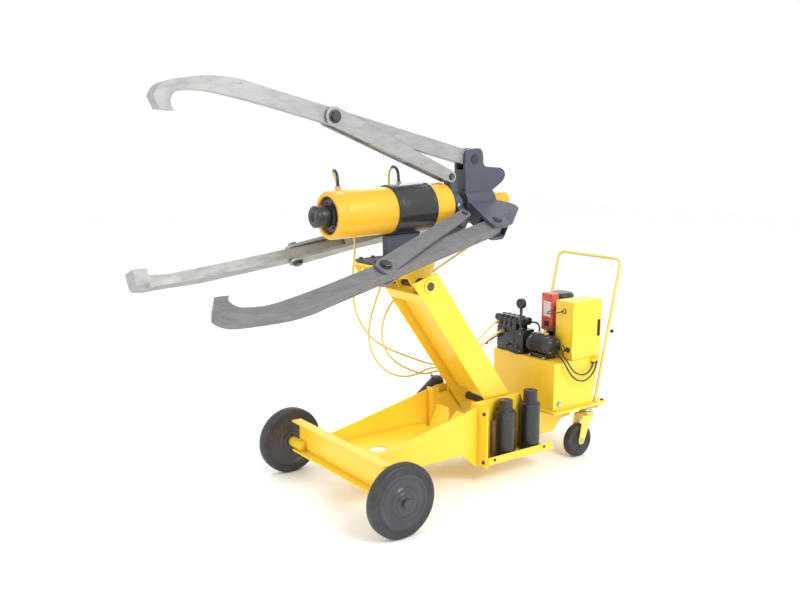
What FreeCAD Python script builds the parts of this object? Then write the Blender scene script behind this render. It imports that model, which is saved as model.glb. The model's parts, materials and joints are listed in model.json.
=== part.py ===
import FreeCAD, Part
import Sketcher
import math
import os

# Cart-mounted hydraulic three-jaw puller, millimetres.
# +Z is up, the jaws point to -Y, +X is the side of the shelf with the extension rods.
# The origin lies on the ground under the middle of the machine.

Vector = FreeCAD.Vector
Rotation = FreeCAD.Rotation
Placement = FreeCAD.Placement

os.makedirs("parts", exist_ok=True)
doc = FreeCAD.newDocument("cart_puller")

# ---------------------------------------------------------------- driving dimensions
SIZES = [
    # cart
    ("axle_y", -365.95),
    ("wheel_radius", 150.0),
    ("wheel_width", 50.0),
    ("tyre_bore", 112.0),
    ("half_track", 437.0),
    ("beam_half", 360.0),
    ("beam_low", 125.0),
    ("beam_top", 268.0),
    ("beam_front", 30.0),
    ("beam_back", 16.0),
    ("sheet_gauge", 8.0),
    ("side_face", 185.0),
    ("rail_face", 150.0),
    ("side_low", 147.0),
    ("side_front_top", 226.0),
    ("side_rear_top", 362.0),
    ("bulkhead_y", 605.0),
    ("deck_top", 257.0),
    ("deck_gauge", 12.0),
    ("deck_half", 232.0),
    ("shelf_floor", 106.0),
    ("shelf_edge", 253.0),
    # boom
    ("boom_pivot_y", 800.0),
    ("boom_pivot_z", 300.0),
    ("boom_lean", 35.5),
    ("boom_half", 130.0),
    ("boom_depth", 62.0),
    ("boom_top", 805.0),
    ("tilt_pin_up", 740.0),
    ("pivot_pin", 18.0),
    # lift cylinder
    ("lift_x", 225.0),
    ("lift_base_y", 437.0),
    ("lift_base_z", 179.0),
    ("lift_angle", 36.15),
    ("lift_length", 400.0),
    ("lift_barrel", 35.0),
    ("lift_pin", 14.0),
    # puller head
    ("head_height", 1211.0),
    ("head_tilt", 1.86),
    ("cylinder_radius", 97.0),
    ("cylinder_bore", 76.0),
    ("cylinder_front", 47.0),
    ("cylinder_rear", 539.0),
    ("ram_radius", 38.0),
    ("nose_radius", 44.0),
    ("band_radius", 105.0),
    ("neck_radius", 32.0),
    # jaws
    ("tail_pin_y", 690.0),
    ("tail_pin_out", 190.0),
    ("jaw_angle", 15.6),
    ("jaw_reach", 731.96),
    ("jaw_half_depth", 32.0),
    ("jaw_width", 45.0),
    ("toe_width", 67.0),
    ("link_angle", 24.81),
    ("link_reach", 633.48),
    ("link_pin_y", 560.0),
    ("link_pin_out", 121.0),
    # hoses
    ("hose_radius", 4.5),
    ("cable_radius", 3.5),
]

sheet = doc.addObject("Spreadsheet::Sheet", "Sizes")
SIZE = {}
for row, (alias, number) in enumerate(SIZES, start=1):
    sheet.set(f"A{row}", alias)
    sheet.set(f"B{row}", str(number))
    sheet.setAlias(f"B{row}", alias)
    SIZE[alias] = number
doc.recompute()


# ---------------------------------------------------------------- helpers
def words(text):
    """Split a sum such as 'beam_top - 8' into words and signs."""
    return str(text).replace("+", " + ").replace("-", " - ").split()


def value(text):
    """Number of a sum of sheet names and plain numbers."""
    total = 0.0
    sign = 1.0
    for word in words(text):
        if word == "+":
            sign = 1.0
        elif word == "-":
            sign = -1.0
        else:
            total += sign * (SIZE[word] if word in SIZE else float(word))
            sign = 1.0
    return total


def bound(text):
    """The same sum written as an expression on the sheet."""
    return " ".join("Sizes." + word if word in SIZE else word for word in words(text))


def origin_part(body, role):
    return [f for f in body.Origin.OriginFeatures if f.Role == role][0]


def new_body(label):
    body = doc.addObject("PartDesign::Body", label)
    body.Label = label
    return body


def new_sketch(body, name, plane, lift):
    """Sketch on one of the body's own planes, lifted along the plane's normal."""
    sketch = body.newObject("Sketcher::SketchObject", name)
    sketch.AttachmentSupport = [(origin_part(body, plane), "")]
    sketch.MapMode = "FlatFace"
    if value(lift) != 0.0:
        sketch.setExpression("AttachmentOffset.Base.z", bound(lift))
    return sketch


def hold_point(sketch, index, position, across, along):
    """Tie one point of a sketch to its two sheet expressions."""
    if value(across) == 0.0:
        sketch.addConstraint(Sketcher.Constraint("PointOnObject", index, position, -2))
    else:
        number = sketch.addConstraint(
            Sketcher.Constraint("DistanceX", -1, 1, index, position, value(across)))
        sketch.setExpression(f"Constraints[{number}]", bound(across))
    if value(along) == 0.0:
        sketch.addConstraint(Sketcher.Constraint("PointOnObject", index, position, -1))
    else:
        number = sketch.addConstraint(
            Sketcher.Constraint("DistanceY", -1, 1, index, position, value(along)))
        sketch.setExpression(f"Constraints[{number}]", bound(along))


def outline(body, name, plane, corners, lift="0"):
    """Closed outline with straight edges through the given corners."""
    sketch = new_sketch(body, name, plane, lift)
    points = [Vector(value(a), value(b), 0) for a, b in corners]
    count = len(points)
    for i in range(count):
        sketch.addGeometry(Part.LineSegment(points[i], points[(i + 1) % count]), False)
    for i in range(count):
        sketch.addConstraint(Sketcher.Constraint("Coincident", i, 2, (i + 1) % count, 1))
    for i, (across, along) in enumerate(corners):
        hold_point(sketch, i, 1, across, along)
    return sketch


def circles(body, name, plane, rounds, lift="0"):
    """Circles given as (centre across, centre along, radius)."""
    sketch = new_sketch(body, name, plane, lift)
    for i, (across, along, radius) in enumerate(rounds):
        centre = Vector(value(across), value(along), 0)
        sketch.addGeometry(Part.Circle(centre, Vector(0, 0, 1), value(radius)), False)
        number = sketch.addConstraint(Sketcher.Constraint("Radius", i, value(radius)))
        sketch.setExpression(f"Constraints[{number}]", bound(radius))
        hold_point(sketch, i, 3, across, along)
    return sketch


def box_corners(across_low, across_high, along_low, along_high):
    return [(across_low, along_low), (across_high, along_low),
            (across_high, along_high), (across_low, along_high)]


def feature(body, kind, name, sketch, length):
    made = body.newObject("PartDesign::" + kind, name)
    made.Profile = sketch
    made.Type = 0
    made.setExpression("Length", bound(length))
    sketch.Visibility = False
    body.Tip = made
    return made


def pad(body, name, sketch, length):
    """Grow the sketch along its normal."""
    return feature(body, "Pad", name, sketch, length)


def pocket(body, name, sketch, length):
    """Cut the sketch against its normal, and make sure that it took something away."""
    doc.recompute()
    before = body.Shape.Volume
    made = feature(body, "Pocket", name, sketch, length)
    doc.recompute()
    if not body.Shape.Volume < before - 1e-3:
        raise RuntimeError(f"{body.Label}: pocket {name} cuts nothing")
    return made


def turn(body, name, sketch, axis, kind="Revolution"):
    """Full turn about the sketch's own vertical or horizontal axis."""
    made = body.newObject("PartDesign::" + kind, name)
    made.Profile = sketch
    made.ReferenceAxis = (sketch, [axis])
    made.Angle = 360.0
    sketch.Visibility = False
    body.Tip = made
    return made


def polar(body, name, features, axis, count):
    made = body.newObject("PartDesign::PolarPattern", name)
    made.Originals = features
    made.Axis = (origin_part(body, axis), [""])
    made.Angle = 360.0
    made.Occurrences = count
    body.Tip = made
    return made


def round_edges(body, name, radius, wanted, kind="Fillet"):
    """Fillet or chamfer the edges for which wanted(edge) is true."""
    doc.recompute()
    base = body.Tip
    names = [f"Edge{i}" for i, edge in enumerate(base.Shape.Edges, start=1) if wanted(edge)]
    if not names:
        raise RuntimeError(f"{body.Label}: no edges for {name}")
    made = body.newObject("PartDesign::" + kind, name)
    made.Base = (base, names)
    if kind == "Fillet":
        made.Radius = radius
    else:
        made.Size = radius
    body.Tip = made
    return made


X = Vector(1, 0, 0)
Y = Vector(0, 1, 0)
Z = Vector(0, 0, 1)

# Frames: the cart, the puller head, the boom and the lift cylinder.
CART = Placement(Vector(0, SIZE["axle_y"], 0), Rotation())
HEAD = Placement(Vector(0, SIZE["axle_y"], SIZE["head_height"]), Rotation(X, SIZE["head_tilt"]))
BOOM = Placement(Vector(0, SIZE["axle_y"] + SIZE["boom_pivot_y"], SIZE["boom_pivot_z"]),
                 Rotation(X, SIZE["boom_lean"]))
LIFT = Placement(Vector(-SIZE["lift_x"], SIZE["axle_y"] + SIZE["lift_base_y"], SIZE["lift_base_z"]),
                 Rotation(X, SIZE["lift_angle"]))


def spun(angle):
    """Head frame turned about the puller's axis."""
    return HEAD.multiply(Placement(Vector(), Rotation(Y, angle)))


# The three jaws stand 120 degrees apart: straight up, low right and low left.
JAWS = (("top", 0.0), ("right", 120.0), ("left", 240.0))


# ---------------------------------------------------------------- front axle and wheels
beam = new_body("front_beam")
web = "beam_back - sheet_gauge"
section = outline(beam, "section", "YZ_Plane", [
    ("0 - beam_front", "beam_low"), ("beam_back", "beam_low"), ("beam_back", "beam_top"),
    ("0 - beam_front", "beam_top"), ("0 - beam_front", "beam_top - sheet_gauge"),
    (web, "beam_top - sheet_gauge"), (web, "beam_low + sheet_gauge"),
    ("0 - beam_front", "beam_low + sheet_gauge")], "0 - beam_half")
pad(beam, "channel", section, "beam_half + beam_half")
for side, start in (("left", "0 - beam_half - 48"), ("right", "beam_half - 60")):
    sleeve = circles(beam, "sleeve_" + side, "YZ_Plane", [("0", "wheel_radius", 23)], start)
    pad(beam, "sleeve_pad_" + side, sleeve, "108")
for side, end in (("left", "0 - beam_half + 50"), ("right", "beam_half + 48")):
    hole = circles(beam, "sleeve_bore_" + side, "YZ_Plane", [("0", "wheel_radius", 15)], end)
    pocket(beam, "sleeve_cut_" + side, hole, "98")
beam.Placement = CART

# The wheels turn on two shoulder bolts screwed into the sleeves.
bolt_profile = [(310, 0), (310, 15), (472, 15), (472, 22), (484, 22), (484, 0)]
bolt_solids = []
for side in (-1, 1):
    points = [Vector(side * along, 0, radius) for along, radius in bolt_profile]
    face = Part.Face(Part.makePolygon(points + points[:1]))
    bolt = face.revolve(Vector(), X, 360)
    bolt.translate(Vector(0, SIZE["axle_y"], SIZE["wheel_radius"]))
    bolt_solids.append(Part.Solid(bolt) if bolt.ShapeType != "Solid" else bolt)
bolts = doc.addObject("Part::Feature", "axle_bolts")
bolts.Label = "axle_bolts"
bolts.Shape = Part.makeCompound(bolt_solids)

for side, sign in (("right", 1), ("left", -1)):
    hub_place = Placement(Vector(sign * SIZE["half_track"], SIZE["axle_y"], SIZE["wheel_radius"]),
                          Rotation(Z, 0 if sign > 0 else 180))
    tyre = new_body("tyre_" + side)
    ring = outline(tyre, "section", "XY_Plane", [
        ("-25", "tyre_bore"), ("25", "tyre_bore"), ("25", "wheel_radius - 6"),
        ("19", "wheel_radius"), ("-19", "wheel_radius"), ("-25", "wheel_radius - 6")])
    turn(tyre, "tread", ring, "H_Axis")
    tyre.Placement = hub_place
    core = new_body("wheel_core_" + side)
    disc = outline(core, "section", "XY_Plane", [
        ("-28", "15.05"), ("34", "15.05"), ("34", "40"), ("29", "44"), ("29", "58"), ("24", "62"),
        ("20", "62"), ("20", "98"), ("24", "102"), ("24", "tyre_bore"),
        ("-24", "tyre_bore"), ("-24", "102"), ("-20", "98"), ("-20", "62"), ("-24", "58"),
        ("-24", "40"), ("-28", "36")])
    turn(core, "disc", disc, "H_Axis")
    core.Placement = hub_place


# ---------------------------------------------------------------- frame of the cart
def frame_side(side, sign, plate_end, flange_out):
    """Bent side plate: trough wall in front, bulkhead, and the rail under boom and tank."""
    body = new_body("frame_side_" + side)

    def start(face):
        return face + " - sheet_gauge" if sign > 0 else "0 - " + face
    wall = [("beam_back", "side_low"), ("beam_back", "side_front_top"), ("655", "side_rear_top")]
    if plate_end > 655:
        wall += [(str(plate_end), "side_rear_top"), (str(plate_end), "200"), ("640", "85")]
    else:
        wall = [("beam_back", "side_low"), ("beam_back", "side_front_top"),
                ("bulkhead_y - 8", "side_rear_top - 11"), ("bulkhead_y - 8", "80")]
    wall += [("585", "85"), ("511", "side_low")]
    pad(body, "wall", outline(body, "wall_outline", "YZ_Plane", wall, start("side_face")), "sheet_gauge")
    reach = "shelf_edge - 6" if flange_out else "side_face"
    inner = "rail_face - sheet_gauge"
    if sign > 0:
        bulk = box_corners(inner, reach, "85", "side_rear_top")
    else:
        bulk = box_corners("0 - " + reach, "0 - rail_face + sheet_gauge", "85", "side_rear_top")
    pad(body, "bulkhead", outline(body, "bulkhead_outline", "XZ_Plane", bulk, "0 - bulkhead_y"),
        "sheet_gauge")
    rail = [("bulkhead_y - 8", "100"), ("bulkhead_y - 8", "side_rear_top"), ("880", "side_rear_top"),
            ("930", "deck_top - deck_gauge"), ("1212", "deck_top - deck_gauge"), ("1212", "196"),
            ("1150", "190"), ("1100", "137"), ("1000", "137"), ("985", "100")]
    pad(body, "rail", outline(body, "rail_outline", "YZ_Plane", rail, start("rail_face")), "sheet_gauge")
    top = "rail_face + 60" if sign > 0 else "0 - rail_face + 30"
    hole = circles(body, "pivot_hole", "YZ_Plane",
                   [("boom_pivot_y", "boom_pivot_z", "pivot_pin + 0.05")], top)
    pocket(body, "pivot_cut", hole, "90")
    if not flange_out:
        # Notch in the rail where the boom's hose block comes down beside it.
        pocket(body, "block_notch", outline(body, "notch_outline", "YZ_Plane", box_corners(
            "636", "692", "334", "side_rear_top + 6"), "12 - rail_face"), "14")
        # Welded stub that carries the foot of the lift cylinder.
        stub = circles(body, "lift_stub", "YZ_Plane", [("lift_base_y", "lift_base_z", "lift_pin")],
                       "0 - lift_x - 24")
        pad(body, "lift_stub_pad", stub, "lift_x + 24 - side_face + 8")
        boss = circles(body, "lift_boss", "YZ_Plane", [("lift_base_y", "lift_base_z", "lift_pin + 5")],
                       "0 - lift_x + 16")
        pad(body, "lift_boss_pad", boss, "lift_x - 16 - side_face")
    body.Placement = CART
    return body


frame_side("right", 1, 605, True)
frame_side("left", -1, 760, False)

# Folded floor of the trough: round hole in front, upturned guard with a notch at the boom's foot.
floor = new_body("frame_floor")
pad(floor, "floor", outline(floor, "floor_outline", "XY_Plane", box_corners(
    "0 - side_face + sheet_gauge", "side_face - sheet_gauge", "beam_back", "560"), "185"), "sheet_gauge")
pocket(floor, "drain", circles(floor, "drain_outline", "XY_Plane", [("0", "190", "40")], "200"), "30")
guard = outline(floor, "guard_outline", "YZ_Plane", [
    ("552", "185"), ("560", "185"), ("606", "283"), ("606", "296"), ("600", "296"), ("552", "193")],
    "-108")
pad(floor, "guard", guard, "216")
notch = outline(floor, "notch_outline", "XZ_Plane", [
    ("0", "236"), ("34", "300"), ("-34", "300")], "-500")
pocket(floor, "notch", notch, "150")
floor.Placement = CART

deck = new_body("deck")
pad(deck, "plate", outline(deck, "plate_outline", "XY_Plane", [
    ("0 - deck_half", "1020"), ("deck_half", "1020"), ("deck_half", "1370"), ("deck_half - 30", "1400"),
    ("0 - deck_half + 30", "1400"), ("0 - deck_half", "1370")], "deck_top - deck_gauge"), "deck_gauge")
deck.Placement = CART

shelf = new_body("rod_shelf")
pad(shelf, "tray", outline(shelf, "tray_outline", "XZ_Plane", [
    ("rail_face", "shelf_floor - 6"), ("shelf_edge", "shelf_floor - 6"), ("shelf_edge", "134"),
    ("shelf_edge - 6", "134"), ("shelf_edge - 6", "shelf_floor"), ("rail_face", "shelf_floor")],
    "-995"), "390")
shelf.Placement = CART

# Push handle: a bent tube whose legs lean back like the rear wall of the tank.
handle_height = 696.0
handle_half = 205.0
bend = 34.0
tube_radius = 8.5
quarter = bend * math.sqrt(0.5)
corner = handle_height - bend
path = Part.Wire([
    Part.LineSegment(Vector(-handle_half, 0, 0), Vector(-handle_half, 0, corner)).toShape(),
    Part.Arc(Vector(-handle_half, 0, corner),
             Vector(-handle_half + bend - quarter, 0, corner + quarter),
             Vector(-handle_half + bend, 0, handle_height)).toShape(),
    Part.LineSegment(Vector(-handle_half + bend, 0, handle_height),
                     Vector(handle_half - bend, 0, handle_height)).toShape(),
    Part.Arc(Vector(handle_half - bend, 0, handle_height),
             Vector(handle_half - bend + quarter, 0, corner + quarter),
             Vector(handle_half, 0, corner)).toShape(),
    Part.LineSegment(Vector(handle_half, 0, corner), Vector(handle_half, 0, 0)).toShape()])
ring = Part.Wire([Part.Circle(Vector(-handle_half, 0, 0), Z, tube_radius).toShape()])
tube = path.makePipeShell([ring], True, False)
handle = doc.addObject("Part::Feature", "push_handle")
handle.Label = "push_handle"
handle.Shape = tube
handle.Placement = Placement(Vector(0, SIZE["axle_y"] + 1322, SIZE["deck_top"] + 2.4), Rotation(X, -12.3))

# ---------------------------------------------------------------- hydraulic power unit
tank = new_body("tank")
pad(tank, "shell", outline(tank, "shell_outline", "YZ_Plane", [
    ("1035", "deck_top"), ("1035", "485"), ("1340", "485"), ("1290", "deck_top")], "-210"), "420")
pocket(tank, "filler_hole", circles(tank, "filler_outline", "XY_Plane", [("-140", "1250", "18")], "500"),
       "19")
cavity = outline(tank, "cavity_outline", "YZ_Plane", [
    ("1039", "deck_top + 4"), ("1039", "481"), ("1335", "481"), ("1287", "deck_top + 4")], "206")
pocket(tank, "cavity", cavity, "412")
socket = outline(tank, "socket_outline", "YZ_Plane", [
    ("1298", "466"), ("1318", "466"), ("1318", "482"), ("1304", "482"), ("1298", "476")], "210")
pad(tank, "cable_socket", socket, "20")
tank.Placement = CART

cap = new_body("filler_cap")
turn(cap, "cap", outline(cap, "cap_outline", "XZ_Plane", [
    ("0", "-10"), ("17.5", "-10"), ("17.5", "0"), ("30", "0"), ("30", "20"), ("26", "25"), ("0", "25")]),
    "V_Axis")
cap.Placement = CART.multiply(Placement(Vector(-140, 1250, 485), Rotation()))

motor = new_body("motor")
turn(motor, "motor", outline(motor, "motor_outline", "XZ_Plane", [
    ("0", "0"), ("66", "0"), ("66", "14"), ("58", "14"), ("58", "70"), ("64", "76"), ("64", "240"),
    ("60", "246"), ("60", "280"), ("50", "292"), ("0", "292")]), "V_Axis")
motor.Placement = CART.multiply(Placement(Vector(18, 1265, 485), Rotation()))

starter = new_body("starter_box")
pad(starter, "case", outline(starter, "case_outline", "XZ_Plane", box_corners("-8", "64", "600", "780"),
                             "-1201"), "43")
round_edges(starter, "corners", 5.0, lambda e: abs(e.BoundBox.YLength - 43) < 0.01)
starter.Placement = CART

pump = new_body("pump")
turn(pump, "barrel", outline(pump, "barrel_outline", "XY_Plane", [
    ("-14", "0"), ("-14", "34"), ("2", "34"), ("2", "50"), ("130", "50"), ("138", "42"), ("138", "0")]),
    "H_Axis")
pad(pump, "foot", outline(pump, "foot_outline", "XY_Plane", box_corners("10", "122", "-34", "34"), "-60"),
    "22")
pump.Placement = CART.multiply(Placement(Vector(0, 1100, 545), Rotation()))

valve = new_body("valve_block")
pad(valve, "manifold", outline(valve, "manifold_outline", "XY_Plane",
                               box_corners("-205", "-22", "1048", "1128"), "485"), "115")
pad(valve, "stack", outline(valve, "stack_outline", "XY_Plane",
                            box_corners("-196", "-62", "1044", "1122"), "600"), "60")
coils = circles(valve, "coils_outline", "YZ_Plane", [("1064", "640", "19"), ("1104", "640", "19")], "-222")
pad(valve, "coils", coils, "190")
stem = circles(valve, "stem_outline", "XY_Plane", [("-42", "1056", "7")], "600")
pad(valve, "stem", stem, "112")
dial = circles(valve, "gauge_outline", "XZ_Plane", [("-42", "731", "25")], "-1067")
pad(valve, "gauge", dial, "24")
valve.Placement = CART

# Hand lever of the valve: a thin rod in a ball joint on the manifold's front face.
lever = new_body("valve_lever")
turn(lever, "rod", outline(lever, "rod_outline", "XZ_Plane", [
    ("0", "-10"), ("9", "-7"), ("9", "7"), ("4", "12"), ("4", "96"), ("8", "101"), ("8", "114"),
    ("4", "120"), ("0", "120")]), "V_Axis")
lever.Placement = CART.multiply(Placement(Vector(-180, 1037.5, 556), Rotation(Y, -122)))

case = new_body("electrical_box")
pad(case, "case", outline(case, "case_outline", "XY_Plane", box_corners("95", "204", "1152", "1342"),
                          "485"), "275")
pocket(case, "inside", outline(case, "inside_outline", "YZ_Plane", box_corners("1155", "1339", "488", "757"),
                               "204"), "106")
glands = circles(case, "gland_outline", "XZ_Plane", [("150", "532", "9"), ("150", "712", "9")], "-1152")
pad(case, "glands", glands, "12")
case.Placement = CART
door = new_body("electrical_door")
pad(door, "door", outline(door, "door_outline", "YZ_Plane", box_corners("1150", "1344", "486", "762"),
                          "204.5"), "5")
pad(door, "latch", outline(door, "latch_outline", "YZ_Plane", box_corners("1318", "1332", "590", "660"),
                           "209.5"), "5")
door.Placement = CART

# ---------------------------------------------------------------- castors
castor_x = 190.0
castor_y = 1280.0
trail = 55.0
castor_radius = 80.0
plate_solids = []
for sign in (1, -1):
    plate = Part.makeBox(90, 90, 8, Vector(sign * castor_x - 45, castor_y - 45, 237))
    race = Part.makeCylinder(30, 20, Vector(sign * castor_x, castor_y, 217), Z)
    plate = plate.fuse(race).removeSplitter()
    plate.translate(Vector(0, SIZE["axle_y"], 0))
    plate_solids.append(plate.Solids[0])
plates = doc.addObject("Part::Feature", "castor_plates")
plates.Label = "castor_plates"
plates.Shape = Part.makeCompound(plate_solids)

for side, sign in (("right", 1), ("left", -1)):
    seat = CART.multiply(Placement(Vector(sign * castor_x, castor_y, castor_radius), Rotation()))
    fork = new_body("castor_fork_" + side)
    pad(fork, "crown", circles(fork, "crown_outline", "XY_Plane", [("0", "0", "34")], "128"), "8.7")
    pad(fork, "bridge", outline(fork, "bridge_outline", "XY_Plane",
                                box_corners("-31", "31", "-52", "18"), "122"), "6")
    for name, low in (("outer", "25"), ("inner", "-31")):
        leg = outline(fork, "leg_outline_" + name, "YZ_Plane", [
            ("-72", "-8"), ("-64", "-16"), ("-46", "-16"), ("-38", "-8"), ("18", "128"), ("-52", "128")],
            low)
        pad(fork, "leg_" + name, leg, "6")
    axle = circles(fork, "axle_outline", "YZ_Plane", [("-55", "0", "8")], "-36")
    pad(fork, "axle", axle, "72")
    fork.Placement = seat
    wheel = new_body("castor_wheel_" + side)
    turn(wheel, "wheel", outline(wheel, "wheel_outline", "XY_Plane", [
        ("-24", "8.05"), ("24", "8.05"), ("24", "20"), ("18", "26"), ("18", "52"), ("21", "56"),
        ("21", "70"), ("13", "80"), ("-13", "80"), ("-21", "70"), ("-21", "56"), ("-18", "52"),
        ("-18", "26"), ("-24", "20")]), "H_Axis")
    wheel.Placement = seat.multiply(Placement(Vector(0, -trail, 0), Rotation()))

# ---------------------------------------------------------------- rods on the shelf
for name, along, body_top, neck_top in (("long", 897, 222, 279), ("short", 745, 212, 259)):
    rod = new_body("extension_rod_" + name)
    turn(rod, "rod", outline(rod, "rod_outline", "XZ_Plane", [
        ("0", "0"), ("44", "0"), ("46", "2"), ("46", str(body_top - 4)), ("42", str(body_top)),
        ("32.5", str(body_top)), ("32.5", str(neck_top - 2)), ("30.5", str(neck_top)),
        ("0", str(neck_top))]), "V_Axis")
    rod.Placement = CART.multiply(Placement(Vector(199.5, along, SIZE["shelf_floor"]), Rotation()))

spare = doc.addObject("Part::Feature", "spare_bars")
spare.Label = "spare_bars"
spare.Shape = Part.makeCompound([
    Part.makeCylinder(12, 178, Vector(across, SIZE["axle_y"] + along, SIZE["shelf_floor"]), Z)
    for across, along in ((206, 668), (174, 821))])

# ---------------------------------------------------------------- boom
boom = new_body("boom")
full = "boom_half + boom_half"
inside = "boom_half + boom_half - sheet_gauge - sheet_gauge"
wall = "boom_half - sheet_gauge"
pad(boom, "box", outline(boom, "box_outline", "YZ_Plane", [
    ("0 - boom_depth", "boom_top"), ("boom_depth", "boom_top - 41"), ("boom_depth", "-30"), ("30", "-60"),
    ("-30", "-60"), ("0 - boom_depth", "-30")], "0 - boom_half"), full)
for name, corners in (
        ("recess", box_corners("-70", "-20", "-70", "820")),
        ("hollow", box_corners("-12", "54", "-70", "820")),
        ("foot", box_corners("-70", "70", "-70", "90")),
        ("head", box_corners("-70", "70", "640", "820"))):
    pocket(boom, name, outline(boom, name + "_outline", "YZ_Plane", corners, wall), inside)
pad(boom, "tie", outline(boom, "tie_outline", "YZ_Plane",
                         box_corners("0 - boom_depth", "-54", "690", "740"), "0 - boom_half + 8"), inside)
pins = [("0", "0", "pivot_pin"), ("0", "tilt_pin_up", "pivot_pin")]
pocket(boom, "pin_holes", circles(boom, "pin_outline", "YZ_Plane", pins, "boom_half + 5"), full + " + 10")
pad(boom, "lift_stub", circles(boom, "lift_outline", "YZ_Plane", [("34.2", "116.8", "lift_pin")],
                               "0 - lift_x - 24"), "lift_x + 24 - boom_half + 4")
pad(boom, "hose_block", outline(boom, "block_outline", "YZ_Plane",
                                box_corners("-52", "-8", "128", "236"), "0 - boom_half - 18"), "20")
boom.Placement = BOOM

pivot_solids = []
for along in (0.0, SIZE["tilt_pin_up"]):
    half = 156.0 if along == 0.0 else 138.0
    pin = Part.makeCylinder(SIZE["pivot_pin"], 2 * half, Vector(-half, 0, along), X)
    pivot_solids.append(pin)
pivots = doc.addObject("Part::Feature", "boom_pins")
pivots.Label = "boom_pins"
pivots.Shape = Part.makeCompound(pivot_solids)
pivots.Placement = BOOM

# ---------------------------------------------------------------- lift cylinder
barrel = new_body("lift_barrel")
turn(barrel, "tube", outline(barrel, "tube_outline", "XY_Plane", [
    ("0", "20"), ("lift_barrel", "20"), ("lift_barrel", "332"), ("16.05", "332"), ("16.05", "316"),
    ("27", "316"), ("27", "36"), ("0", "36")]), "V_Axis")
pad(barrel, "eye", circles(barrel, "eye_outline", "YZ_Plane", [("0", "0", "26")], "-14"), "28")
pocket(barrel, "eye_bore", circles(barrel, "bore_outline", "YZ_Plane", [("0", "0", "lift_pin + 0.05")],
                                   "15"), "30")
barrel.Placement = LIFT
rod = new_body("lift_rod")
turn(rod, "rod", outline(rod, "rod_outline", "XY_Plane", [
    ("0", "110"), ("26.95", "110"), ("26.95", "128"), ("16", "128"), ("16", "lift_length - 20"),
    ("0", "lift_length - 20")]), "V_Axis")
pad(rod, "eye", circles(rod, "eye_outline", "YZ_Plane", [("lift_length", "0", "28")], "-14"), "28")
pocket(rod, "eye_bore", circles(rod, "bore_outline", "YZ_Plane",
                                [("lift_length", "0", "lift_pin + 2.5")], "15"), "30")
rod.Placement = LIFT

# ---------------------------------------------------------------- saddle, post and clamp band
saddle = new_body("head_saddle")
pad(saddle, "top", outline(saddle, "top_outline", "XY_Plane", box_corners("-60", "60", "107", "440"),
                           "-219"), "sheet_gauge")
cheek = [("107", "-219"), ("440", "-219"), ("440", "-250"), ("396", "-330"), ("378", "-352"),
         ("342", "-352"), ("324", "-330"), ("300", "-290"), ("130", "-272")]
for name, low in (("right", "52"), ("left", "-60")):
    pad(saddle, "cheek_" + name, outline(saddle, "cheek_outline_" + name, "YZ_Plane", cheek, low), "8")
pocket(saddle, "holes", circles(saddle, "hole_outline", "YZ_Plane", [
    ("360.07", "-320.41", "pivot_pin + 0.05"), ("146", "-245", "7")], "70"), "140")
saddle.Placement = HEAD

post = new_body("head_post")
pad(post, "base", outline(post, "base_outline", "XY_Plane", box_corners("-72", "72", "122", "440"), "-211"),
    "12")
pad(post, "web", outline(post, "web_outline", "XY_Plane", box_corners("-20", "20", "227", "397"), "-199"),
    "120")
pocket(post, "cradle", circles(post, "cradle_outline", "XZ_Plane", [("0", "0", "band_radius")], "-200"),
       "220")
post.Placement = HEAD

band = new_body("clamp_band")
turn(band, "band", outline(band, "band_outline", "XY_Plane", [
    ("cylinder_radius", "238"), ("band_radius - 3", "238"), ("band_radius", "241"), ("band_radius", "433"),
    ("band_radius - 3", "436"), ("cylinder_radius", "436")]), "V_Axis")
pocket(band, "port_gap", circles(band, "gap_outline", "XY_Plane", [("-44", "337", "14")], "140"), "80")
band.Placement = HEAD

# ---------------------------------------------------------------- main cylinder
tube = new_body("cylinder_tube")
turn(tube, "tube", outline(tube, "tube_outline", "XY_Plane", [
    ("cylinder_bore", "0 - cylinder_front"), ("cylinder_radius - 4", "0 - cylinder_front"),
    ("cylinder_radius", "0 - cylinder_front + 4"), ("cylinder_radius", "cylinder_rear - 14"),
    ("cylinder_radius - 10", "cylinder_rear"), ("0", "cylinder_rear"), ("0", "cylinder_rear - 32"),
    ("cylinder_bore", "cylinder_rear - 32")]), "V_Axis")
for name, along in (("front", "35"), ("rear", "337")):
    port = circles(tube, "port_outline_" + name, "XY_Plane", [("-44", along, "11")], "78")
    pad(tube, "port_" + name, port, "26")
tube.Placement = HEAD

gland = new_body("gland")
turn(gland, "gland", outline(gland, "gland_outline", "XY_Plane", [
    ("ram_radius + 0.05", "-38"), ("60", "-38"), ("66", "-32"), ("cylinder_bore", "-32"),
    ("cylinder_bore", "24"), ("ram_radius + 0.05", "24")]), "V_Axis")
gland.Placement = HEAD

ram = new_body("ram")
turn(ram, "ram", outline(ram, "ram_outline", "XY_Plane", [
    ("0", "-62"), ("ram_radius", "-62"), ("ram_radius", "440"), ("cylinder_bore - 0.05", "440"),
    ("cylinder_bore - 0.05", "480"), ("0", "480")]), "V_Axis")
ram.Placement = HEAD
nose = new_body("ram_nose")
turn(nose, "nose", outline(nose, "nose_outline", "XY_Plane", [
    ("0", "-115"), ("nose_radius - 8", "-115"), ("nose_radius", "-107"), ("nose_radius", "-44"),
    ("ram_radius", "-44"), ("ram_radius", "-62"), ("0", "-62")]), "V_Axis")
nose.Placement = HEAD

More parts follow.
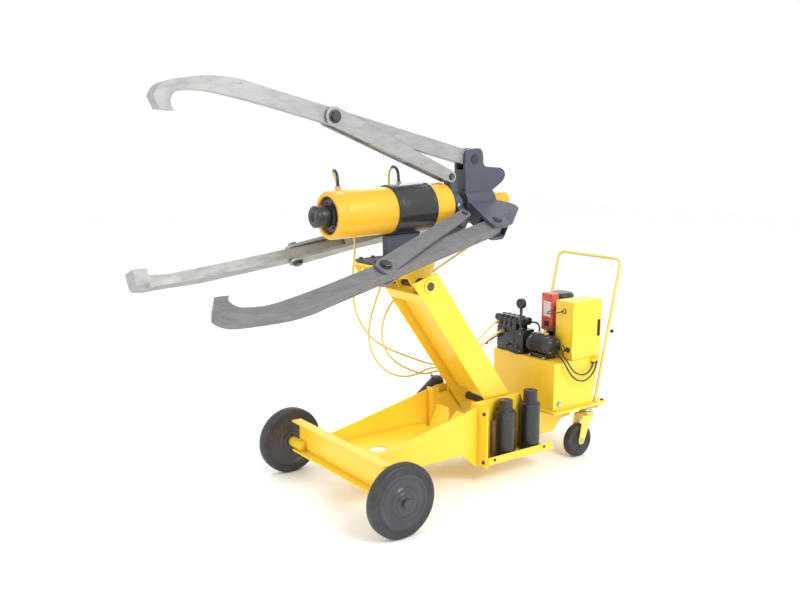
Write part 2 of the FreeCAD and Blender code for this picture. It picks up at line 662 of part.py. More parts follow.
# ---------------------------------------------------------------- jaw head and sliding link carrier
head = new_body("jaw_head")
turn(head, "hub", outline(head, "hub_outline", "XY_Plane", [
    ("15.5", "cylinder_rear"), ("neck_radius", "cylinder_rear"), ("neck_radius", "630"), ("62", "630"),
    ("62", "790"), ("36", "790"), ("36", "700"), ("15.5", "700")]), "V_Axis")
arm = pad(head, "arm", outline(head, "arm_outline", "YZ_Plane", [
    ("636", "50"), ("636", "196"), ("640", "216"), ("649", "229"), ("663", "236"), ("714", "236"),
    ("727", "230"), ("735", "218"), ("738", "200"), ("738", "172"), ("744", "160"), ("756", "154"),
    ("834", "146"), ("852", "139"), ("863", "127"), ("866", "112"), ("860", "96"), ("846", "82"),
    ("790", "50")], "-38"), "76")
slot = pocket(head, "slot", outline(head, "slot_outline", "YZ_Plane", [
    ("600", "146"), ("712", "146"), ("726", "160"), ("726", "260"), ("600", "260")], "23.3"), "46.6")
bore = pocket(head, "tail_bore", circles(head, "bore_outline", "YZ_Plane",
                                         [("tail_pin_y", "tail_pin_out", "14")], "45"), "90")
polar(head, "three_arms", [arm, slot, bore], "Y_Axis", 3)
doc.recompute()
hub_bore = outline(head, "hub_bore_outline", "XY_Plane", [
    ("0", "690"), ("36", "690"), ("36", "800"), ("0", "800")])
turn(head, "hub_bore", hub_bore, "V_Axis", "Groove")
pocket(head, "key_slot", outline(head, "key_outline", "YZ_Plane", box_corners("562", "608", "-8.3", "8.3"),
                                 "40"), "80")
head.Placement = HEAD

tail_solids = []
for name, angle in JAWS:
    pin = Part.makeCylinder(14, 88, Vector(-44, SIZE["tail_pin_y"], SIZE["tail_pin_out"]), X)
    pin.Placement = Placement(Vector(), Rotation(Y, angle)).multiply(pin.Placement)
    tail_solids.append(pin)
tails = doc.addObject("Part::Feature", "tail_pins")
tails.Label = "tail_pins"
tails.Shape = Part.makeCompound(tail_solids)
tails.Placement = HEAD

slider = new_body("link_carrier")
turn(slider, "ring", outline(slider, "ring_outline", "XY_Plane", [
    ("neck_radius + 0.06", "568"), ("56", "568"), ("56", "600"), ("neck_radius + 0.06", "600")]), "V_Axis")
lug = pad(slider, "lug", outline(slider, "lug_outline", "YZ_Plane", [
    ("570", "48"), ("600", "48"), ("598", "112"), ("578", "139"), ("544", "139"), ("542", "106"),
    ("560", "100")], "-22"), "44")
trunnion = pad(slider, "trunnion", circles(slider, "trunnion_outline", "YZ_Plane",
                                           [("link_pin_y", "link_pin_out", "11")], "-44"), "88")
polar(slider, "three_lugs", [lug, trunnion], "Y_Axis", 3)
pocket(slider, "key_bore", circles(slider, "key_outline", "YZ_Plane", [("584", "0", "8")], "60"), "120")
slider.Placement = HEAD

small_rod = new_body("carrier_rod")
turn(small_rod, "rod", outline(small_rod, "rod_outline", "XY_Plane", [
    ("0", "566"), ("13", "566"), ("13", "730"), ("25.95", "730"), ("25.95", "750"), ("0", "750")]),
    "V_Axis")
pad(small_rod, "key", circles(small_rod, "key_outline", "YZ_Plane", [("584", "0", "8")], "-55"), "110")
small_rod.Placement = HEAD

small = new_body("jaw_cylinder")
turn(small, "tube", outline(small, "tube_outline", "XY_Plane", [
    ("13.5", "700"), ("36", "700"), ("36", "893"), ("30", "899"), ("0", "899"), ("0", "888"),
    ("26", "888"), ("26", "706"), ("13.5", "706")]), "V_Axis")
pad(small, "port", circles(small, "port_outline", "XY_Plane", [("0", "872", "8")], "-48"), "16")
small.Placement = HEAD


# ---------------------------------------------------------------- jaws and links
def arc_or_line(points):
    """Edge through two points, or an arc through three."""
    if len(points) == 2:
        return Part.LineSegment(points[0], points[1]).toShape()
    return Part.Arc(points[0], points[1], points[2]).toShape()


def face_of(runs):
    """Face in the YZ plane from a chain of runs; each run starts where the last one ended."""
    edges = []
    last = Vector(0, runs[-1][-1][0], runs[-1][-1][1])
    for run in runs:
        points = [last] + [Vector(0, a, b) for a, b in run]
        edges.append(arc_or_line(points))
        last = points[-1]
    return Part.Face(Part.Wire(edges))


def jaw_shape():
    """Straight bar with a long bent hook that widens at its toe; the tail pin is the origin."""
    deep = SIZE["jaw_half_depth"]
    wide = SIZE["jaw_width"]
    side = face_of([
        [(-1060, deep)],
        [(-1290, 2), (-1405, -50)],
        [(-1440, -82), (-1448, -114)],
        [(-1418, -152)],
        [(-1362, -142)],
        [(-1384, -98), (-1350, -68)],
        [(-1300, -52), (-1225, -40)],
        [(-1090, -34), (-940, -deep)],
        [(0, -deep)],
        [(deep, 0), (0, deep)]])
    flare = SIZE["toe_width"] / 2
    whole = side.extrude(Vector(2 * flare, 0, 0))
    whole.translate(Vector(-flare, 0, 0))
    plan = []
    for sign in (1, -1):
        half = [(wide / 2, 60), (wide / 2, -1290), (wide / 2 + 4, -1345), (flare, -1400), (flare, -1470)]
        plan += [Vector(sign * a, b, -220) for a, b in (half if sign > 0 else reversed(half))]
    plan.append(plan[0])
    whole = whole.common(Part.Face(Part.makePolygon(plan)).extrude(Vector(0, 0, 300)))
    for along, radius in ((0, 14.05), (-SIZE["jaw_reach"], 16.05)):
        whole = whole.cut(Part.makeCylinder(radius, 100, Vector(-50, along, 0), X))
    return whole.Solids[0]


def link_shape():
    """Two plates joined by a welded spacer; the carrier end is the local origin."""
    reach = SIZE["link_reach"]
    plate = face_of([
        [(-reach, 38)],
        [(-reach - 38, 0), (-reach, -38)],
        [(0, -25)],
        [(25, 0), (0, 25)]])
    plates = []
    for start in (-37, 25):
        piece = plate.extrude(Vector(12, 0, 0))
        piece.translate(Vector(start, 0, 0))
        plates.append(piece)
    spacer = Part.makeBox(50, 190, 10, Vector(-25, -reach + 220, -26))
    whole = plates[0].fuse([plates[1], spacer])
    for along, radius in ((0, 13.4), (-reach, 16)):
        whole = whole.cut(Part.makeCylinder(radius, 100, Vector(-50, along, 0), X))
    return whole.Solids[0]


def mid_pin_shape():
    """Bolt with a round head and a nut that holds jaw and link together."""
    shank = Part.makeCylinder(16, 76, Vector(-38, 0, 0), X)
    washer = Part.makeCylinder(26, 5, Vector(37, 0, 0), X)
    bolt_head = Part.makeCylinder(20, 10, Vector(42, 0, 0), X)
    nut = Part.makeCylinder(23, 13, Vector(-50, 0, 0), X)
    return shank.fuse([washer, bolt_head, nut]).removeSplitter().Solids[0]


for name, angle in JAWS:
    frame = spun(angle)
    tail = frame.multiply(Placement(Vector(0, SIZE["tail_pin_y"], SIZE["tail_pin_out"]),
                                    Rotation(X, -SIZE["jaw_angle"])))
    jaw = doc.addObject("Part::Feature", "jaw_" + name)
    jaw.Label = "jaw_" + name
    jaw.Shape = jaw_shape()
    jaw.Placement = tail
    root = frame.multiply(Placement(Vector(0, SIZE["link_pin_y"], SIZE["link_pin_out"]),
                                    Rotation(X, -SIZE["link_angle"])))
    link = doc.addObject("Part::Feature", "link_" + name)
    link.Label = "link_" + name
    link.Shape = link_shape()
    link.Placement = root
    pin = doc.addObject("Part::Feature", "link_bolt_" + name)
    pin.Label = "link_bolt_" + name
    pin.Shape = mid_pin_shape()
    pin.Placement = root.multiply(Placement(Vector(0, -SIZE["link_reach"], 0), Rotation()))


# ---------------------------------------------------------------- hoses and cable
def hose(label, points, radius):
    """Round hose: straight runs between hand-placed points, joined by tangent arcs."""
    corners = [Vector(*p) + Vector(0, SIZE["axle_y"], 0) for p in points]
    edges = []
    start = corners[0]
    for before, here, after in zip(corners, corners[1:], corners[2:]):
        come = (here - before)
        leave = (after - here)
        cut = 0.45 * min(come.Length, leave.Length)
        come.normalize()
        leave.normalize()
        turn_angle = come.getAngle(leave)
        bend_radius = cut / math.tan(turn_angle / 2)
        first = here - come * cut
        last = here + leave * cut
        inward = leave - come
        inward.normalize()
        middle = here + inward * (bend_radius / math.cos(turn_angle / 2) - bend_radius)
        edges.append(Part.LineSegment(start, first).toShape())
        edges.append(Part.Arc(first, middle, last).toShape())
        start = last
        print(f"{label}: bend radius {bend_radius:.0f} mm, turn {math.degrees(turn_angle):.0f} degrees")
    edges.append(Part.LineSegment(start, corners[-1]).toShape())
    spine = Part.Wire(edges)
    mouth = Part.Wire([Part.Circle(corners[0], corners[1] - corners[0], radius).toShape()])
    solid = spine.makePipeShell([mouth], True, False)
    ideal = math.pi * radius ** 2 * spine.Length
    if abs(solid.Volume - ideal) > 0.02 * ideal:
        raise RuntimeError(f"{label}: hose volume {solid.Volume:.0f}, expected {ideal:.0f}")
    print(f"{label}: length {spine.Length:.0f} mm")
    made = doc.addObject("Part::Feature", label)
    made.Label = label
    made.Shape = solid
    return made


def boom_point(across, back, up):
    """Cart coordinates of a point given in the boom's own frame."""
    lean = math.radians(SIZE["boom_lean"])
    return (across,
            SIZE["boom_pivot_y"] + back * math.cos(lean) - up * math.sin(lean),
            SIZE["boom_pivot_z"] + back * math.sin(lean) + up * math.cos(lean))


def head_point(across, along, up):
    """Cart coordinates of a point given in the head's own frame."""
    tilt = math.radians(SIZE["head_tilt"])
    return (across, along * math.cos(tilt) - up * math.sin(tilt),
            SIZE["head_height"] + along * math.sin(tilt) + up * math.cos(tilt))


hose("hose_front", [
    head_point(-44, 35, 104.3), head_point(-44.4, 35.5, 140), head_point(-55, 38, 162),
    head_point(-76, 43, 173), head_point(-98, 50, 170), head_point(-117, 60, 157),
    (-129, 73, 1345), (-134, 90, 1307), (-133, 114, 1254), (-130, 144, 1190), (-128, 162, 1118),
    (-128, 165, 1050), (-128, 157, 984), (-131, 151, 916), (-136, 156, 846), (-142, 174, 776),
    (-149, 208, 710), (-157, 258, 652), (-166, 320, 604), (-177, 386, 568), (-190, 448, 540),
    (-203, 508, 514), (-213, 564, 489), (-209, 609, 469), (-197, 630, 464), (-176, 642, 462.9),
    boom_point(-148.6, -34, 224)], SIZE["hose_radius"])
hose("hose_rear", [
    head_point(-44, 337, 104.3), head_point(-44.4, 337.3, 140), head_point(-55, 338, 162),
    head_point(-76, 340, 173), head_point(-98, 342, 170), head_point(-118, 344, 157),
    head_point(-130, 346, 135), head_point(-134, 348, 98), head_point(-133, 350, 50),
    head_point(-125, 351, -4), head_point(-115, 351, -56), head_point(-106, 350, -108),
    head_point(-107, 346, -162), head_point(-118, 340, -216), head_point(-135, 330, -272),
    (-148, 311, 876), (-156, 290, 812), (-163, 270, 746), (-168, 258, 678), (-171, 264, 610),
    (-172, 290, 548), (-175, 334, 494), (-182, 390, 456), (-192, 448, 432), (-204, 505, 421),
    (-214, 560, 422), (-215, 594, 431), (-209, 622, 439.6), (-197, 642, 444.8), (-176, 653.6, 446.2),
    boom_point(-148.6, -34, 204)],
    SIZE["hose_radius"])
hose("hose_jaw", [
    head_point(0, 872, -48.4), head_point(-2, 871.6, -84), head_point(-18, 858, -126),
    head_point(-48, 826, -166), head_point(-84, 776, -204), head_point(-114, 716, -244),
    head_point(-134, 646, -284), head_point(-145, 570, -324), head_point(-148, 500, -360),
    (-147, 434, 846), (-144, 374, 804), (-141, 330, 750), (-139, 308, 688), (-139, 312, 622),
    (-142, 342, 564), (-150, 390, 518), (-161, 446, 484), (-174, 500, 457), (-189, 552, 434),
    (-200, 598, 420), (-203, 632, 420), (-195, 653.4, 425.6), (-176, 665, 429.6),
    boom_point(-148.6, -34, 184)],
    SIZE["hose_radius"])
hose("hose_feed", [
    boom_point(-148.6, -26, 156), (-174.3, 688.4, 412.1), (-193, 695.6, 419.4),
    (-204, 710, 432), (-204.6, 758, 467),
    (-198, 820, 494), (-192, 880, 524), (-188, 938, 562), (-186, 986, 600), (-184.6, 1017, 619),
    (-184, 1043.2, 622)], SIZE["hose_radius"])
hose("hose_return", [
    boom_point(-148.6, -26, 138), (-170.1, 698.9, 397.4), (-186.8, 704.7, 405.1),
    (-196.5, 714.7, 418.5), (-197, 750, 452),
    (-190, 816, 472), (-182, 874, 496), (-172, 932, 524), (-160, 985, 562), (-151, 1020, 581),
    (-150, 1047.2, 584)], SIZE["hose_radius"])
hose("motor_cable", [
    (150, 1139.6, 532), (150.4, 1115, 530.6), (160, 1097, 522), (182, 1085, 512), (212, 1079, 504),
    (232, 1081, 485), (239, 1095, 456), (241, 1121, 420), (241, 1160, 394), (239, 1204, 386),
    (234, 1246, 394), (227, 1281, 414), (220.4, 1304, 438), (220, 1307.4, 465.4)], SIZE["cable_radius"])

# ---------------------------------------------------------------- checks and export
doc.recompute()
nodes = [o for o in doc.Objects if o.TypeId in ("PartDesign::Body", "Part::Feature")]
for thing in doc.Objects:
    if "Invalid" in thing.State or "Error" in thing.State:
        raise RuntimeError(f"{thing.Label}: {thing.State}")
for node in nodes:
    if node.Shape.isNull() or not node.Shape.isValid() or not node.Shape.Solids:
        raise RuntimeError(f"{node.Label}: bad shape")
box = FreeCAD.BoundBox()
for node in nodes:
    node.Shape.exportStep(f"parts/{node.Label}.step")
    box.add(node.Shape.BoundBox)
print(f"{len(nodes)} nodes, box {box}")
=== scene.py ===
import json
from math import cos, pi, radians, sin
import bpy
import bmesh
from mathutils import Matrix, Vector


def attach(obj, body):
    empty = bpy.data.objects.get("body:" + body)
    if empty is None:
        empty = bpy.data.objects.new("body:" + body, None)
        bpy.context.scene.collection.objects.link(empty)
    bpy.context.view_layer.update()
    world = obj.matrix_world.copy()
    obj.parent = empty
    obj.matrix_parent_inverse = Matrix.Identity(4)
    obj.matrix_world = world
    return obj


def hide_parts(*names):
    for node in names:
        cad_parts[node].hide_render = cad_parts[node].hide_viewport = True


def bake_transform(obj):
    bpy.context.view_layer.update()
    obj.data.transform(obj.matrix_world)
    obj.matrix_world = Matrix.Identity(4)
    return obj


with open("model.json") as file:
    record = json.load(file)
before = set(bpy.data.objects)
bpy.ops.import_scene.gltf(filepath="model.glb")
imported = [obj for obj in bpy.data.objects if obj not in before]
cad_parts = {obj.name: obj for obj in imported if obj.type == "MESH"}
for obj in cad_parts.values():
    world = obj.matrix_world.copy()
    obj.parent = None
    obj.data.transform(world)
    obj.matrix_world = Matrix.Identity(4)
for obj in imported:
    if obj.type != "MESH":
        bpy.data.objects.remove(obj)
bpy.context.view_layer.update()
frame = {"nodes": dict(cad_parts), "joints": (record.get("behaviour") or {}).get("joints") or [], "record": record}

# Cart-mounted hydraulic three-jaw puller. Meshes are built in millimetres in the frame that suits
# each region (cart, puller head, boom or lift cylinder) and brought to metres as they are placed.
# In each frame X points to the cart's right; in the cart's frame Y points back from the front axle
# and Z up from the floor, and in the head's frame Y runs back along the puller's axis.

nodes = frame["nodes"]
joints = {joint["name"]: joint for joint in frame["joints"]}
mounts = {mount["name"]: mount for mount in frame["record"]["mounts"]}
body_of = {node: body for body, members in frame["record"]["behaviour"]["bodies"].items()
    for node in members}
MM = 0.001
X, Y, Z = Vector((1, 0, 0)), Vector((0, 1, 0)), Vector((0, 0, 1))


# ------------------------------------------------------------------ frames
def frame_at(origin, forward):
    """Matrix from millimetres in a frame whose local Y is `forward` and whose X stays the world's X."""
    forward = forward.normalized()
    up = X.cross(forward)
    turned = Matrix((X, forward, up)).transposed().to_4x4()
    return Matrix.Translation(origin) @ turned @ Matrix.Scale(MM, 4)


def joint_point(name):
    return Vector(joints[name]["pos_m"])


axle_y = joint_point("wheel_right_roll").y
nose = mounts["ram_nose_pin"]
nose_from_origin = 0.0755
boom_foot = joint_point("boom_lift")
boom_head = joint_point("head_tilt")
CART = frame_at(Vector((0, axle_y, 0)), Y)
HEAD = frame_at(Vector(nose["pos_m"]) - nose_from_origin * Vector(nose["axis"]), -Vector(nose["axis"]))
BOOM = frame_at(boom_foot, (boom_head - boom_foot).cross(X))
LIFT = frame_at(joint_point("lift_barrel_swing"), Vector(joints["lift_rod_stroke"]["axis"]))

JAWS = (("top", 0.0), ("right", 120.0), ("left", 240.0))
SIDES = (("right", 1), ("left", -1))
AXLE_HEIGHT = 150
BOOM_TILT_PIN = 740
PIN_RADIUS = 18
LIFT_PIN_RADIUS = 14.1
CYLINDER_RADIUS = 97
BAND_RADIUS = 105
PORTS_AT = (35, 337)
TANK_TOP = 485
CASTOR_SEAT = (190, 1280)


# ------------------------------------------------------------------ camera and light
def photographer():
    lens = bpy.data.cameras.new("camera")
    lens.lens = 40.7
    lens.sensor_width = 36.0
    camera = bpy.data.objects.new("camera", lens)
    camera.location = (3.092, axle_y - 1.905, 1.517)
    camera.rotation_euler = (radians(79.8), 0.0, radians(54.4))
    bpy.context.scene.collection.objects.link(camera)
    bpy.context.scene.camera = camera


def area_light(name, place, target, size, power):
    lamp = bpy.data.lights.new(name, "AREA")
    lamp.shape = "DISK"
    lamp.size = size
    lamp.energy = power
    holder = bpy.data.objects.new(name, lamp)
    holder.location = place
    holder.rotation_euler = (Vector(target) - Vector(place)).to_track_quat("-Z", "Y").to_euler()
    bpy.context.scene.collection.objects.link(holder)


def studio():
    world = bpy.data.worlds.new("studio")
    world.use_nodes = True
    background = world.node_tree.nodes["Background"].inputs
    background["Color"].default_value = (1.0, 1.0, 1.0, 1.0)
    background["Strength"].default_value = 1.0
    bpy.context.scene.world = world
    bpy.context.scene.view_settings.view_transform = "Standard"
    area_light("key", (3.6, 0.2, 3.4), (0, 0, 0.8), 2.0, 105)
    area_light("front", (-0.6, -4.2, 2.6), (0, 0, 0.9), 2.5, 42)
    area_light("rear", (-2.6, 2.8, 3.2), (0, 0, 0.8), 2.5, 40)


# ------------------------------------------------------------------ mesh building, in millimetres
def at(x, y, z):
    return Matrix.Translation((x, y, z))


def along(point, direction):
    """Placement whose local Z points along the direction."""
    direction = Vector(direction).normalized()
    return Matrix.Translation(Vector(point)) @ direction.to_track_quat("Z", "Y").to_matrix().to_4x4()


HERE = Matrix()
METRES = Matrix.Scale(MM, 4)
ALONG_X = along((0, 0, 0), X)
ALONG_Y = along((0, 0, 0), Y)


def around(count, start=0.0):
    """Angles of a full turn in equal steps."""
    return [start + 2 * pi * k / count for k in range(count)]


def lathe(bm, profile, place=HERE, steps=72):
    """Turn (along, radius) points about the placement's local Z; an open profile closes into a ring."""
    rings = []
    for height, radius in profile:
        if radius < 1e-6:
            rings.append([bm.verts.new(place @ Vector((0, 0, height)))])
            continue
        rings.append([bm.verts.new(place @ Vector((radius * cos(t), radius * sin(t), height)))
            for t in around(steps)])
    pairs = list(zip(rings, rings[1:]))
    if len(rings[0]) > 1 and len(rings[-1]) > 1:
        pairs.append((rings[-1], rings[0]))
    for a, b in pairs:
        for k in range(steps):
            n = (k + 1) % steps
            if len(a) == 1 and len(b) == 1:
                continue
            if len(a) == 1:
                bm.faces.new((a[0], b[k], b[n]))
            elif len(b) == 1:
                bm.faces.new((a[k], b[0], a[n]))
            else:
                bm.faces.new((a[k], b[k], b[n], a[n]))


def eased(profile, radius, steps=3):
    """Round every corner of a lathe profile that is off the axis."""
    result = []
    count = len(profile)
    ring = profile[0][1] > 1e-6 and profile[-1][1] > 1e-6
    for i, point in enumerate(profile):
        if not ring and i in (0, count - 1):
            result.append(point)
            continue
        here = Vector(point)
        before = Vector(profile[i - 1]) - here
        after = Vector(profile[(i + 1) % count]) - here
        cut = min(radius, 0.45 * before.length, 0.45 * after.length)
        a = here + before.normalized() * cut
        b = here + after.normalized() * cut
        for k in range(steps + 1):
            t = k / steps
            p = a * (1 - t) ** 2 + here * 2 * t * (1 - t) + b * t ** 2
            result.append((p.x, p.y))
    return result


def rod(bm, place, radius, low, high, ease, steps, ease_steps=3):
    """Round bar along the placement's Z."""
    lathe(bm, eased([(low, 0), (low, radius), (high, radius), (high, 0)], ease, ease_steps), place, steps)


def ring(bm, place, inner, outer, low, high, ease, steps, ease_steps=3):
    """Washer or bush along the placement's Z."""
    profile = [(low, inner), (low, outer), (high, outer), (high, inner)]
    lathe(bm, eased(profile, ease, ease_steps), place, steps)


def bevel_faces(bm, faces, width, steps=2, angle=30.0):
    edges = {}
    for face in faces:
        for edge in face.edges:
            if len(edge.link_faces) == 2 and edge.calc_face_angle() > radians(angle):
                edges[edge] = True
    if edges:
        bmesh.ops.bevel(bm, geom=list(edges), offset=width, segments=steps, profile=0.5, affect="EDGES",
            clamp_overlap=True)


def prism(bm, outline, low, high, place=HERE, bevel=1.0, steps=2):
    """Outline in the placement's XY plane, raised from low to high along its Z."""
    bottom = [bm.verts.new(place @ Vector((a, b, low))) for a, b in outline]
    top = [bm.verts.new(place @ Vector((a, b, high))) for a, b in outline]
    faces = [bm.faces.new(list(reversed(bottom))), bm.faces.new(top)]
    count = len(outline)
    for k in range(count):
        n = (k + 1) % count
        faces.append(bm.faces.new((bottom[k], bottom[n], top[n], top[k])))
    bmesh.ops.recalc_face_normals(bm, faces=faces)
    bevel_faces(bm, faces, bevel, steps)


def block(bm, low, high, bevel=1.0, steps=2, place=HERE):
    outline = [(low[0], low[1]), (high[0], low[1]), (high[0], high[1]), (low[0], high[1])]
    prism(bm, outline, low[2], high[2], place, bevel, steps)


def hexagon(bm, place, across, height, bevel=True):
    """Hexagon head or nut with its top edge turned down."""
    radius = across / 2 / cos(pi / 6)
    top = radius * (0.88 if bevel else 1.0)
    lathe(bm, [(0, 0), (0, radius), (height * 0.82, radius), (height, top), (height, 0)], place, 6)


def bolt(bm, place, size):
    """Washer and hexagon head of a bolt of the given thread size."""
    rod(bm, place, size * 1.1, 0, size * 0.2, 0.3, 24, 1)
    hexagon(bm, place @ at(0, 0, size * 0.2), size * 1.6, size * 0.65)


def cap_screw(bm, place, size):
    """Round screw head with a round socket."""
    lathe(bm, eased([(0, 0), (0, size * 0.8), (size, size * 0.8), (size, size * 0.42),
        (size * 0.45, size * 0.42), (size * 0.45, 0)], 0.4, 2), place, 20)


def tube(bm, points, radius, sides=14, ripple=0.0):
    """Round tube along points; ripple makes the radius swell at every other point, like a weld."""
    points = [Vector(p) for p in points]
    normal = None
    rings = []
    for i, point in enumerate(points):
        ahead = points[min(i + 1, len(points) - 1)] - points[max(i - 1, 0)]
        ahead.normalize()
        if normal is None:
            normal = ahead.orthogonal().normalized()
        else:
            normal = (normal - ahead * normal.dot(ahead)).normalized()
        side = ahead.cross(normal)
        size = radius * (1.0 + ripple * (0.5 if i % 2 else -0.5))
        rings.append([bm.verts.new(point + (normal * cos(t) + side * sin(t)) * size)
            for t in around(sides)])
    for a, b in zip(rings, rings[1:]):
        for k in range(sides):
            n = (k + 1) % sides
            bm.faces.new((a[k], a[n], b[n], b[k]))
    bm.faces.new(list(reversed(rings[0])))
    bm.faces.new(rings[-1])


def spaced(points, step):
    """Points every `step` along straight runs."""
    points = [Vector(p) for p in points]
    result = [points[0]]
    for a, b in zip(points, points[1:]):
        count = max(1, round((b - a).length / step))
        result += [a.lerp(b, k / count) for k in range(1, count + 1)]
    return result


def groove(start, radius, depth=0.8):
    """Lathe points of a narrow groove in a bar of the given radius."""
    return [(start, radius), (start + 1, radius - depth), (start + 3, radius - depth), (start + 4, radius)]


def weld(bm, points, radius=2.6):
    tube(bm, spaced(points, 2.2), radius, 8, 0.22)


def arc(centre, radius, start, end, count, plane=(X, Z)):
    """Points on an arc in the plane of two unit vectors, angles in degrees."""
    angles = [radians(start + (end - start) * k / count) for k in range(count + 1)]
    return [Vector(centre) + plane[0] * radius * cos(a) + plane[1] * radius * sin(a) for a in angles]


def finished(name, bm, place, material, sharp_angle=None):
    """Object from a bmesh brought to its place, smooth except where faces meet at more than the angle."""
    bmesh.ops.recalc_face_normals(bm, faces=bm.faces)
    bm.transform(place)
    mesh = bpy.data.meshes.new(name)
    bm.to_mesh(mesh)
    bm.free()
    made = bpy.data.objects.new(name, mesh)
    bpy.context.scene.collection.objects.link(made)
    for face in mesh.polygons:
        face.use_smooth = True
    if sharp_angle:
        mesh.set_sharp_from_angle(angle=radians(sharp_angle))
    mesh.materials.append(material)
    return made


def piece(name, bm, place, material, body, replaced=()):
    """Finish a bmesh in millimetres as one visible piece that rides on a body."""
    made = finished(name, bm, place, material, 32.0)
    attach(made, body)
    if replaced:
        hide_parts(*replaced)
    return made


def soften(node, width, material, steps=2):
    """Copy of a CAD piece with its sharp edges rounded, which stands for it."""
    bm = bmesh.new()
    bm.from_mesh(nodes[node].data)
    bmesh.ops.remove_doubles(bm, verts=bm.verts, dist=2e-6)
    bmesh.ops.dissolve_limit(bm, angle_limit=radians(0.6), verts=bm.verts, edges=bm.edges,
        use_dissolve_boundaries=False)
    bevel_faces(bm, bm.faces, width * MM, steps, 38.0)
    made = finished(node + "_rounded", bm, HERE, material, 34.0)
    made.modifiers.new("even", "WEIGHTED_NORMAL").keep_sharp = True
    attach(made, body_of[node])
    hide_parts(node)


# ------------------------------------------------------------------ materials
def nodes_of(name):
    material = bpy.data.materials.new(name)
    material.use_nodes = True
    tree = material.node_tree
    return material, tree, tree.nodes["Principled BSDF"]


def feed(tree, socket, source):
    """Link an output to the socket, or set the socket to a value."""
    if isinstance(source, bpy.types.NodeSocket):
        tree.links.new(source, socket)
    else:
        socket.default_value = source


def node(tree, kind, **inputs):
    """Shader node with its inputs fed; an underscore in an input's name stands for a space."""
    made = tree.nodes.new("ShaderNode" + kind)
    for name, source in inputs.items():
        feed(tree, made.inputs[name.replace("_", " ")], source)
    return made


def object_place(tree):
    return node(tree, "TexCoord").outputs["Object"]


def noise(tree, scale, detail=4.0, stretch=(1, 1, 1)):
    """Noise in object coordinates; the stretch squeezes it along an axis."""
    place = node(tree, "Mapping", Scale=stretch, Vector=object_place(tree)).outputs["Vector"]
    return node(tree, "TexNoise", Scale=scale, Detail=detail, Roughness=0.55, Vector=place).outputs["Fac"]


def span(tree, source, low, high, to_low=0.0, to_high=1.0):
    made = node(tree, "MapRange", From_Min=low, From_Max=high, To_Min=to_low, To_Max=to_high, Value=source)
    return made.outputs["Result"]


def product(tree, a, b):
    made = node(tree, "Math")
    made.operation = "MULTIPLY"
    feed(tree, made.inputs[0], a)
    feed(tree, made.inputs[1], b)
    return made.outputs[0]


def mix(tree, factor, a, b):
    """Colour mix; a and b are colours or outputs."""
    made = node(tree, "Mix")
    made.data_type = "RGBA"
    sockets = {s.identifier: s for s in made.inputs}
    for key, source in (("A_Color", a), ("B_Color", b)):
        feed(tree, sockets[key], (*source, 1.0) if isinstance(source, tuple) else source)
    feed(tree, sockets["Factor_Float"], factor)
    return next(s for s in made.outputs if s.identifier == "Result_Color")


def times(colour, share):
    return tuple(min(1.0, c * share) for c in colour)


def edges_of(tree, radius):
    """About 1 on outside edges and 0 on open faces."""
    soft = node(tree, "Bevel", Radius=radius)
    soft.samples = 4
    dot = node(tree, "VectorMath")
    dot.operation = "DOT_PRODUCT"
    feed(tree, dot.inputs[0], soft.outputs["Normal"])
    feed(tree, dot.inputs[1], node(tree, "NewGeometry").outputs["Normal"])
    return span(tree, dot.outputs["Value"], 0.98, 0.80)


def corner_shade_of(tree, distance):
    """About 1 in corners and 0 in the open: mask for painted shade in corners."""
    shade = node(tree, "AmbientOcclusion", Distance=distance)
    shade.samples = 4
    return span(tree, shade.outputs["AO"], 0.75, 0.15)


def surface(tree, shader, tone, rough, height, strength, distance):
    """Feed the shader its colour, roughness and bump."""
    feed(tree, shader.inputs["Base Color"], tone)
    feed(tree, shader.inputs["Roughness"], rough)
    bump = node(tree, "Bump", Strength=strength, Distance=distance, Height=height)
    feed(tree, shader.inputs["Normal"], bump.outputs["Normal"])


def paint(name, colour, deep, rough, coat=0.25, worn=(0.20, 0.19, 0.18), wear=0.6):
    """Sprayed paint: faint cloudiness and orange peel, painted shade darkening the corners, bare edges here and
    there.
    """
    material, tree, shader = nodes_of(name)
    tone = mix(tree, span(tree, noise(tree, 5.0, 3.0), 0.3, 0.7, 0.0, 0.35), colour, deep)
    # Painted shade: corners and recesses darkened towards the deep colour by ambient occlusion.
    tone = mix(tree, product(tree, corner_shade_of(tree, 0.035), 0.7), tone, times(deep, 0.32))
    specks = span(tree, noise(tree, 140.0, 2.0), 0.70, 0.76, 0.0, 0.45)
    tone = mix(tree, specks, tone, times(deep, 0.5))
    chips = product(tree, edges_of(tree, 0.0022), span(tree, noise(tree, 38.0, 5.0), 0.50, 0.62))
    tone = mix(tree, product(tree, chips, wear), tone, worn)
    gloss = span(tree, noise(tree, 22.0, 5.0), 0.3, 0.75, rough - 0.07, rough + 0.12)
    surface(tree, shader, tone, gloss, noise(tree, 420.0, 2.0), 0.06, 0.0006)
    shader.inputs["Coat Weight"].default_value = coat
    shader.inputs["Coat Roughness"].default_value = 0.22
    return material


